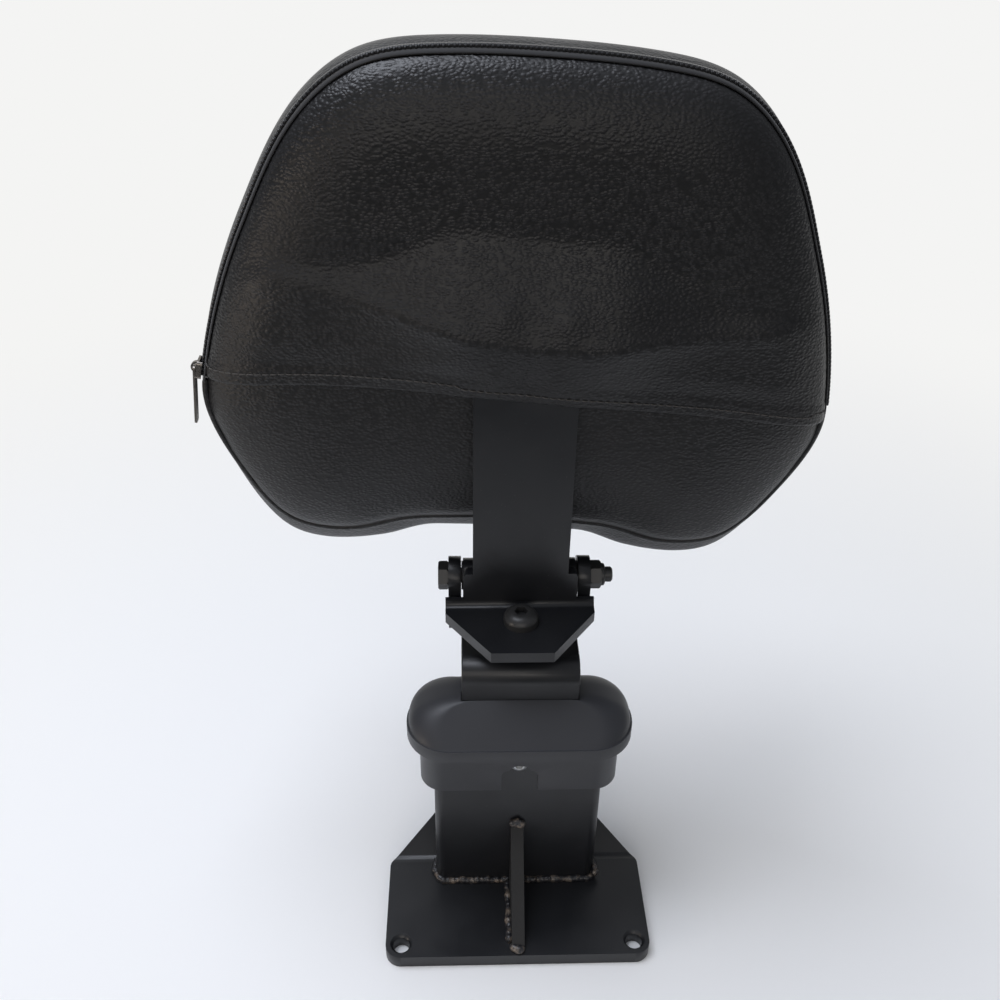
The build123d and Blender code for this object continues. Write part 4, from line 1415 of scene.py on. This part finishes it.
    def swell(self, obj: bpy.types.Object, held: set, pressed: list) -> None:
        """Runs the cloth with inside pressure and keeps the result within a cap.

        Args:
            obj: closed cushion mesh.
            held: points on the seams, which stay.
            pressed: rear points that the bar and the flap hold, which stay.
        """
        before = np.empty(len(obj.data.vertices) * 3)
        obj.data.vertices.foreach_get("co", before)
        before = before.reshape(-1, 3)
        group = obj.vertex_groups.new(name="held")
        group.add([int(i) for i in held], 1.0, "REPLACE")
        group.add([int(i) for i in pressed], 1.0, "REPLACE")
        cloth = obj.modifiers.new("cloth", "CLOTH")
        settings = cloth.settings
        for name, value in (
            ("quality", 6), ("mass", 0.4), ("tension_stiffness", 22), ("compression_stiffness", 22),
            ("shear_stiffness", 12), ("bending_stiffness", 3.0), ("use_pressure", True),
            ("uniform_pressure_force", self.pressure), ("vertex_group_mass", "held"),
        ):
            setattr(settings, name, value)
        settings.effector_weights.gravity = 0
        cloth.collision_settings.use_collision = False
        cloth.point_cache.frame_start = 1
        cloth.point_cache.frame_end = self.frames
        scene = bpy.context.scene
        for number in range(1, self.frames + 1):
            scene.frame_set(number)
        graph = bpy.context.evaluated_depsgraph_get()
        shape = obj.evaluated_get(graph).to_mesh()
        after = np.empty(len(shape.vertices) * 3)
        shape.vertices.foreach_get("co", after)
        after = after.reshape(-1, 3)
        obj.evaluated_get(graph).to_mesh_clear()
        obj.modifiers.clear()
        obj.vertex_groups.clear()
        scene.frame_set(1)
        move = after - before
        length = np.linalg.norm(move, axis=1)
        limit = self.cap_mm * MM
        share = np.where(length > limit, limit / np.maximum(length, 1e-12), 1.0)
        obj.data.vertices.foreach_set("co", (before + move * share[:, None]).ravel())
        obj.data.update()
        log.info("cushion swelled by up to %.1f mm", min(length.max() / MM, self.cap_mm))

    def seam_path(self, y: float, *change: float) -> np.ndarray:
        """Dense closed line around the pad at one depth, in its place on the bar.

        Args:
            y: its depth.
            change: the outline's inset values.

        Returns:
            n by 3 places.
        """
        loop = self.outline.inset(self.outline.loop()[:-1], *change)
        closed = np.vstack([loop, loop[:1]])
        ring = even(closed, self.seam_samples + 1)[:-1]
        return self.outline.rolled(np.column_stack([ring[:, 0], np.full(len(ring), y), ring[:, 1]]))

    def split_at_zip(self, path: np.ndarray, below: bool) -> np.ndarray:
        """Part of a closed line below or above the zip's ends, in order from left to right.

        Args:
            path: n by 3 places of the closed line.
            below: whether the lower part is wanted.

        Returns:
            Its places.
        """
        a = math.radians(self.outline.turn)
        turn_z = self.outline.turn_z
        upright = turn_z + path[:, 0] * math.sin(a) + (path[:, 2] - turn_z) * math.cos(a)
        end = self.outline.zip_end_z
        return left_to_right(path, upright < end if below else upright >= end)

    def build_piping(self) -> None:
        """Covered cord sewn into the seam below the zip, and the roll along the front seam."""
        low = self.split_at_zip(self.seam_path(self.piping_y, self.piping_in), below=True)
        seam = mesh_object("seam_piping", *tube(low, self.piping_radius, self.piping_sides), VINYL)
        settle(seam, Body.BACKREST, VINYL, "edge_piping")
        line = self.seam_path(self.front_seam_y + self.front_piping_on, *self.front_seam)
        roll = tube(line, self.front_piping_radius, self.piping_sides, closed=True)
        settle(mesh_object("front_piping", *roll, VINYL), Body.BACKREST, VINYL)

    def build(self) -> None:
        """Builds the cushion and its piping."""
        cushion = self.build_cushion()
        settle(cushion, Body.BACKREST, VINYL, "front_cover", "rear_panel", "foam_core")
        self.build_piping()
        dress(frame["nodes"]["backing_board"], PLYWOOD)


@dataclass
class Flap:
    """Zip-on rear flap: a vinyl sheet drawn over the bar's end and the screw heads, hemmed below."""

    pad: Pad
    columns: int = 130
    rows: int = 104
    edge_y: float = 96.0
    edge_inset: float = 0.6
    lie_y: float = 79.2
    round_run: float = 36.0
    thickness: float = 1.3
    bar_half: float = 24.0
    tent: float = 15.5
    hem_lift: float = 8.6
    side_share: float = 0.16
    side_run: float = 42.0
    slope_height: float = 44.0
    screws: tuple = ((-14.0, 345.0), (14.0, 345.0), (-14.0, 315.0), (14.0, 315.0))
    screw_bump: float = 1.3
    ridge_x: tuple = (-150.0, -112.0, -69.0, -45.0, -25.0, 0.0, 32.0, 65.0, 119.0, 150.0)
    ridge_z: tuple = (345.0, 354.0, 345.0, 340.0, 334.5, 332.5, 332.0, 337.0, 341.0, 337.0)
    ridge_round: float = 2.5
    hem_height: float = 9.0
    hem_extra: float = 0.9
    stitch_up: float = 5.2
    stitch_pitch: float = 3.6
    stitch_length: float = 2.8
    stitch_radius: float = 0.33
    marks: tuple = ((-88.0, 427.0), (88.0, 427.0))
    hem_samples: int = 400
    edge_samples: int = 900
    hem_fade: float = 1.6
    near_edge_run: float = 26.0
    hem_lift_run: float = 84.0
    screw_spread: float = 7.0
    fold_lines: tuple = (
        ((-146.0, 340.0), (-112.0, 352.0), 4.0, 1.3), ((-72.0, 346.0), (-24.0, 334.5), 4.0, 0.7),
        ((-28.0, 324.0), (-76.0, 312.0), 6.0, 0.6), ((30.0, 333.0), (112.0, 340.0), 5.0, 0.5),
        ((34.0, 352.0), (100.0, 356.0), 7.0, 0.5), ((-100.0, 372.0), (-30.0, 376.0), 9.0, 0.5),
        ((66.0, 318.0), (124.0, 312.0), 6.0, 0.5), ((-122.0, 324.0), (-60.0, 322.0), 8.0, 0.5),
    )

    def boundary(self) -> tuple[np.ndarray, np.ndarray]:
        """Upper outline from left to right, cut at the hem, and the hem between its ends.

        Returns:
            The (x, z) places of both.
        """
        line = self.pad.outline
        loop = line.inset(line.loop()[:-1], self.edge_inset)
        hem = line.hem_line(self.hem_samples)
        keep = loop[:, 1] >= np.interp(loop[:, 0], hem[:, 0], hem[:, 1])
        upper = left_to_right(loop, keep)
        inside = (hem[:, 0] > upper[0, 0]) & (hem[:, 0] < upper[-1, 0])
        return upper, np.vstack([upper[:1], hem[inside], upper[-1:]])

    def lift(self, x: np.ndarray, z: np.ndarray) -> np.ndarray:
        """How far the bar, its end and the screw heads hold the sheet out at (x, z) places.

        Args:
            x: places across.
            z: their heights.

        Returns:
            The distances, in millimetres.
        """
        ridge = np.interp(x, self.ridge_x, self.ridge_z)
        hem = np.interp(x, *np.array(self.pad.outline.hem).T)
        bar_x, bar_z = self.pad.outline.on_bar(x, z)
        off = np.clip(np.abs(bar_x) - self.bar_half, 0, None)
        share = self.side_share + (1 - self.side_share) * np.exp(-(off / self.side_run) ** 2)
        rise = np.clip(1 + (ridge - z) / (self.slope_height * share), 0, 1) ** 0.9
        rise = 1.1 * rise ** 2 / (rise + 0.1)
        drop = np.clip((ridge - z) / (ridge - hem), 0, 1)
        fall = 0.4 * smooth_step(drop) + 0.6 * drop
        low = np.clip(1 - off / self.hem_lift_run, 0, 1) * self.hem_lift
        lift = np.where(z > ridge, rise * share * self.tent, (1 - fall) * share * self.tent + fall * low)
        for screw_x, screw_z in self.screws:
            away = (bar_x - screw_x) ** 2 + (bar_z - screw_z) ** 2
            lift = lift + self.screw_bump * np.exp(-away / self.screw_spread ** 2)
        return lift

    def depth(self, places: np.ndarray, edge_distance: np.ndarray) -> np.ndarray:
        """Depth y of the flap's outer face at (x, z) places, with the ridge rounded over a few millimetres.

        Args:
            places: (x, z) places.
            edge_distance: their distances from the zip's edge.

        Returns:
            The depths.
        """
        x, z = places[..., 0], places[..., 1]
        t = np.clip(edge_distance / self.round_run, 0, 1)
        y = self.edge_y - (self.edge_y - self.lie_y) * np.sqrt(1 - (1 - t) ** 2)
        near_edge = smooth_step(edge_distance / self.near_edge_run)
        lift = sum(
            share * self.lift(x, z + way * self.ridge_round)
            for way, share in ((-1, 0.25), (0, 0.5), (1, 0.25))
        )
        return y - (lift + self.folds(x, z)) * near_edge

    def folds(self, x: np.ndarray, z: np.ndarray) -> np.ndarray:
        """Soft creases: (start, end, width, height) lines where the sheet is drawn over the bar.

        Args:
            x: places across.
            z: their heights.

        Returns:
            Their heights, in millimetres.
        """
        total = np.zeros_like(x)
        for (ax, az), (bx, bz), width, height in self.fold_lines:
            a, b = np.array([ax, az]), np.array([bx, bz])
            along = (b - a) / np.linalg.norm(b - a)
            p = np.stack([x - ax, z - az], -1)
            s = (p @ along) / np.linalg.norm(b - a)
            across = p @ np.array([-along[1], along[0]])
            fade = smooth_step(s / 0.3 + 0.5) * smooth_step((1 - s) / 0.3 + 0.5)
            total += height * fade * np.exp(-(across / width) ** 2)
        return total

    def sheet_points(self) -> tuple[np.ndarray, np.ndarray]:
        """Grid of the flap's outer face, in the pad's own place, and its outward direction.

        Returns:
            The places and the directions.
        """
        upper, hem = self.boundary()
        first, last = (int(np.argmin(((upper - mark) ** 2).sum(1))) for mark in self.marks)
        left = even(upper[:first + 1], self.rows + 1)
        top = even(upper[first:last + 1], self.columns + 1)
        right = even(upper[last:][::-1], self.rows + 1)
        grid = coons(even(hem, self.columns + 1), top, left, right)
        distance = distance_to(grid, even(upper, self.edge_samples))
        y = self.depth(grid, distance)
        points = np.dstack([grid[..., 0], y, grid[..., 1]])
        normal = np.cross(np.gradient(points, axis=1), np.gradient(points, axis=0))
        normal /= np.linalg.norm(normal, axis=2)[..., None]
        if normal[self.rows // 2, self.columns // 2, 1] > 0:
            normal = -normal
        return points, normal

    def build_sheet(self, points: np.ndarray, normal: np.ndarray) -> bpy.types.Object:
        """Builds the sheet with its thickness and a thicker folded hem.

        Args:
            points: grid of places on the outer face.
            normal: outward direction at each of them.

        Returns:
            The sheet's object.
        """
        rows, columns = points.shape[:2]
        height = np.linalg.norm(points - points[:1], axis=2)
        extra = self.hem_extra * (1 - smooth_step((height - self.hem_height) / self.hem_fade + 0.5))
        outer = points + normal * (extra * 0.5)[..., None]
        inner = points - normal * (self.thickness + extra * 0.5)[..., None]
        stack = np.vstack([outer.reshape(-1, 3), inner.reshape(-1, 3)])
        size = rows * columns
        faces = grid_faces(rows, columns) + [f[::-1] for f in grid_faces(rows, columns, size)]
        grid = np.arange(size).reshape(rows, columns)
        rim = np.concatenate([grid[0], grid[1:, -1], grid[-1, ::-1][1:], grid[::-1, 0][1:-1]]).tolist()
        faces += [[a, b, b + size, a + size] for a, b in zip(rim, rim[1:] + rim[:1])]
        obj = mesh_object("flap_sheet", self.pad.outline.rolled(stack), faces, VINYL)
        subdivide(obj)
        return obj

    def stitches(self, path: np.ndarray, normal: np.ndarray) -> tuple[np.ndarray, list]:
        """Row of thread stitches along a path that lies on a surface.

        Args:
            path: dense line in millimetres.
            normal: surface direction at each place of the line.

        Returns:
            Points and faces of all stitches.
        """
        along = lengths_along(path)
        lift = np.array([-0.25, 0.12, 0.2, 0.12, -0.25])[:, None]
        parts = []
        for start in np.arange(1.0, along[-1] - self.stitch_pitch, self.stitch_pitch):
            want = start + self.stitch_length * np.linspace(0, 1, len(lift))
            spots = sample(path, along, want) + sample(normal, along, want) * lift
            parts.append(tube(spots, self.stitch_radius, 6))
        return joined(parts)

    def build(self) -> None:
        """Builds the sheet and its stitched hem."""
        points, normal = self.sheet_points()
        sheet = self.build_sheet(points, normal)
        settle(sheet, Body.BACKREST, VINYL, "rear_flap")
        height = np.linalg.norm(points - points[:1], axis=2)
        row = np.abs(height - self.stitch_up).argmin(0)
        column = np.arange(points.shape[1])
        out = even(normal[row, column], self.hem_samples)
        line = even(points[row, column], self.hem_samples) + out * (self.hem_extra * 0.5 + 0.1)
        roll = self.pad.outline.rolled
        thread = self.stitches(roll(line), roll(line + out) - roll(line))
        stitches = mesh_object("hem_stitches", *thread, THREAD)
        settle(stitches, Body.BACKREST, THREAD)
        rolled = roll(points.reshape(-1, 3)).reshape(points.shape)


@dataclass
class Zip:
    """Zip around the upper part of the seam: its tape and teeth, and the finish of slider and pull."""

    pad: Pad
    middle_y: float = 98.5
    tape_half: float = 5.4
    tape_stand: float = 0.8
    tape_thickness: float = 0.5
    tooth_pitch: float = 2.1
    tooth_width: float = 4.6
    tooth_length: float = 1.25
    tooth_rise: float = 1.5
    tooth_edge: float = 0.18
    tape_rows: int = 420
    tape_curl: float = 1.1
    tooth_samples: int = 4
    bare_end: float = 10.0
    inside: tuple = (0.0, 98.5, 340.0)
    tooth_profile: tuple = (
        (-1.0, 0.8, 0.0), (-1.0, 0.8, 0.6), (-0.35, 0.9, 1.0),
        (0.55, 1.0, 1.0), (0.75, 0.9, 0.7), (0.75, 0.8, 0.0),
    )

    def path(self, y: float, stand: float) -> np.ndarray:
        """Line of the zip at one depth and stand-off, from its left end to its right end.

        Args:
            y: its depth.
            stand: how far it stands off the seam line.

        Returns:
            n by 3 places.
        """
        return self.pad.split_at_zip(self.pad.seam_path(y, -stand), below=False)

    def frames(self, path: np.ndarray) -> tuple[np.ndarray, np.ndarray]:
        """Directions along the path and out of the pad at each of its places.

        Args:
            path: n by 3 places of the line.

        Returns:
            Both directions at each place.
        """
        ahead = np.gradient(path, axis=0)
        ahead /= np.linalg.norm(ahead, axis=1)[:, None]
        out = np.cross(ahead, (0, 1, 0))
        return ahead, out if ((path - self.inside) * out).sum() >= 0 else -out

    def build_tape(self) -> None:
        """Woven ribbon under the teeth."""
        path = even(self.path(self.middle_y, self.tape_stand), self.tape_rows)
        _, out = self.frames(path)
        section = [(self.tape_half * a, -self.tape_curl * abs(a) ** 3) for a in np.linspace(-1, 1, 7)]
        section += [(y, r - self.tape_thickness) for y, r in section[::-1]]
        points = np.vstack([
            [place + np.array([0, y, 0]) + way * r for y, r in section] for place, way in zip(path, out)
        ])
        tape = mesh_object("zip_tape", points, ring_faces(len(section), len(path)), TAPE)
        settle(tape, Body.BACKREST, TAPE)

    def tooth(
        self, place: np.ndarray, ahead: np.ndarray, out: np.ndarray, side: int,
    ) -> tuple[np.ndarray, list]:
        """One tooth: a foot on the tape and a rounded head over the middle.

        Args:
            place: its middle on the tape.
            ahead: direction along the zip.
            out: direction out of the pad.
            side: 1 or -1 for the row it stands in.

        Returns:
            The tooth's points and faces.
        """
        across = np.array([0, side * self.tooth_width / 2, 0])
        points = [
            place + ahead * (self.tooth_length / 2 * way * wide) + across * y + out * (self.tooth_rise * up)
            for way in (-1, 1) for y, wide, up in self.tooth_profile
        ]
        return np.array(points), ring_faces(len(self.tooth_profile), 2)

    def build_teeth(self) -> None:
        """Two rows of teeth that mesh along the middle."""
        base = self.path(self.middle_y, self.tape_stand)
        count = int((lengths_along(base)[-1] - self.bare_end) / (self.tooth_pitch / 2))
        step = self.tooth_samples
        line = even(base, count * step)
        ahead, out = self.frames(line)
        parts = [
            self.tooth(line[i], ahead[i], out[i], 1 if k % 2 else -1)
            for k, i in enumerate(range(2 * step, (count - 2) * step, step))
        ]
        teeth = mesh_object("zip_teeth", *joined(parts), TEETH, smooth=False)
        round_edges(teeth, self.tooth_edge, 1, 30.0)
        apply_modifiers(teeth)
        settle(teeth, Body.BACKREST, TEETH, "zip_chain")

    def build(self) -> None:
        """Builds the tape and teeth and dresses the slider and pull."""
        self.build_tape()
        self.build_teeth()
        for name in ("zip_slider", "zip_pull"):
            dress(frame["nodes"][name], NICKEL)


@dataclass(frozen=True)
class SoftBox:
    """One soft box: where it stands, what it faces and its size in metres, its watts and its colour."""

    name: str
    place: tuple
    aim: tuple
    size: tuple
    watts: float
    colour: str

    def build(self) -> None:
        """Adds the lamp to the scene."""
        data = bpy.data.lights.new(self.name, "AREA")
        data.shape = "RECTANGLE"
        data.size, data.size_y = self.size
        data.energy = self.watts
        data.color = linear(self.colour)[:3]
        lamp = new_object(self.name, data)
        lamp.location = self.place
        lamp.rotation_euler = (Vector(self.aim) - Vector(self.place)).to_track_quat("-Z", "Y").to_euler()


@dataclass
class Studio:
    """Pale floor, soft lamps and the camera at the photograph's place.

    The paper's sizes are in metres. The drop, the eye, the lens and its sensor are in millimetres.
    """

    paper_colour: str = "#f4f4f3"
    near_y: float = -0.30
    wall_y: float = 2.4
    wall_top: float = 2.4
    bend: float = 0.8
    half_width: float = 2.1
    drop_mm: float = 0.2
    lit_reach: float = 0.12
    plain_from: float = 0.95
    room_colour: str = "#e9edf5"
    room_low: float = 0.15
    room_high: float = 0.38
    room_turn: tuple = (-0.15, 0.45)
    lamps: tuple = (
        SoftBox("overhead", (-0.50, 0.22, 1.80), (0.0, 0.05, 0.2), (1.1, 1.0), 25.0, "#eef3ff"),
        SoftBox("left_low", (-1.1, -0.55, 0.22), (0.0, 0.05, 0.10), (0.35, 0.35), 2.6, "#ffeedd"),
        SoftBox("rear", (-0.15, -1.6, 0.82), (0.0, 0.05, 0.3), (1.5, 0.45), 6.0, "#f9f2ea"),
    )
    sensor: float = 36.0
    lens: float = 39.16
    eye: tuple = (-28.33, -356.10, 539.61)
    right: tuple = (0.99944, -0.03007, 0.01468)
    up: tuple = (0.00468, 0.56008, 0.82843)
    ahead: tuple = (0.03313, 0.82789, -0.55991)

    def sweep_profile(self) -> list:
        """Side view of the paper: flat floor, one wide bend and an upright wall, as (y, z) in metres.

        Returns:
            The (y, z) places from the near edge to the top of the wall.
        """
        bend = [
            (self.wall_y - self.bend * (1 - math.sin(t)), self.bend * (1 - math.cos(t)))
            for t in np.linspace(0, math.pi / 2, 17)
        ]
        return [(self.near_y, 0.0), *bend, (self.wall_y, self.wall_top)]

    def build_sweep(self) -> None:
        """Builds the pale paper under and behind the part, with its near edge just outside the picture."""
        profile = self.sweep_profile()
        points = [(side * self.half_width, y, z) for y, z in profile for side in (-1, 1)]
        faces = [(2 * i, 2 * i + 1, 2 * i + 3, 2 * i + 2) for i in range(len(profile) - 1)]
        mesh = bpy.data.meshes.new("paper_sweep")
        mesh.from_pydata(points, [], faces)
        mesh.materials.append(self.paper())
        sweep = new_object("paper_sweep", mesh)
        sweep.location.z = -self.drop_mm * MM

    def paper(self) -> bpy.types.Material:
        """Builds the paper: lit and shadowed near the part, and its own plain colour farther away.

        The eye, glossy surfaces and clear ones see the far paper in its plain colour.

        Returns:
            The material.
        """
        material = bpy.data.materials.new("background_paper")
        material.use_nodes = True
        tree = material.node_tree
        lit = tree.nodes["Principled BSDF"]
        lit.inputs["Base Color"].default_value = linear(self.paper_colour)
        lit.inputs["Roughness"].default_value = 0.9
        lit.inputs["Specular IOR Level"].default_value = 0.1
        plain = add_node(tree, "Emission", None, {"Color": linear(self.paper_colour), "Strength": 1.0})
        place = add_node(tree, "TexCoord").outputs["Object"]
        distance = add_node(tree, "VectorMath", {"operation": "LENGTH"}, {0: place}).outputs["Value"]
        far = add_node(
            tree, "MapRange", {"interpolation_type": "SMOOTHSTEP"},
            ramp(distance, (self.lit_reach, self.plain_from), (0.0, 1.0)),
        )
        ray = add_node(tree, "LightPath").outputs
        seen = ray["Is Camera Ray"]
        for other in ("Is Glossy Ray", "Is Transmission Ray"):
            seen = add_node(tree, "Math", {"operation": "MAXIMUM"}, {0: seen, 1: ray[other]}).outputs[0]
        amount = add_node(tree, "Math", {"operation": "MULTIPLY"}, {0: seen, 1: far.outputs["Result"]})
        mixed = add_node(tree, "MixShader", None, {
            0: amount.outputs[0], 1: lit.outputs[0], 2: plain.outputs[0],
        })
        set_inputs(tree, tree.nodes["Material Output"], {"Surface": mixed.outputs[0]})
        return material

    def build_world(self) -> None:
        """Builds a soft room: light above eye level and dimmer below it."""
        world = bpy.data.worlds.new("studio")
        world.use_nodes = True
        tree = world.node_tree
        tree.nodes.clear()
        place = add_node(tree, "TexCoord").outputs["Generated"]
        height = add_node(tree, "SeparateXYZ", None, {"Vector": place}).outputs["Z"]
        level = add_node(
            tree, "MapRange", {"interpolation_type": "SMOOTHSTEP"},
            ramp(height, self.room_turn, (self.room_low, self.room_high)),
        )
        room = add_node(tree, "Background", None, {
            "Color": linear(self.room_colour), "Strength": level.outputs["Result"],
        })
        add_node(tree, "OutputWorld", None, {"Surface": room.outputs[0]})
        bpy.context.scene.world = world

    def build_camera(self) -> None:
        """Builds the camera at the photograph's place and angle."""
        data = bpy.data.cameras.new("camera")
        data.sensor_width = self.sensor
        data.lens = self.lens
        data.clip_start, data.clip_end = 0.01, 50.0
        camera = new_object("camera", data)
        columns = Matrix((self.right, self.up, tuple(-a for a in self.ahead))).transposed()
        camera.matrix_world = Matrix.Translation(Vector(self.eye) * MM) @ columns.to_4x4()
        bpy.context.scene.camera = camera

    def build(self) -> None:
        """Builds the whole setting."""
        self.build_sweep()
        self.build_world()
        for lamp in self.lamps:
            lamp.build()
        self.build_camera()
        bpy.context.scene.view_settings.view_transform = "Standard"
        log.info("paper, room, %d lamps and the camera are in place", len(self.lamps))


def main() -> None:
    """Builds every sub-assembly in order."""
    logging.basicConfig(level=logging.INFO, format="%(name)s: %(message)s")
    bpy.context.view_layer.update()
    Studio().build()
    SteelWork().build()
    Collar().build()
    WeldBeads().build()
    pad = Pad()
    pad.build()
    Flap(pad).build()
    Zip(pad).build()


if __name__ == "__main__":
    main()
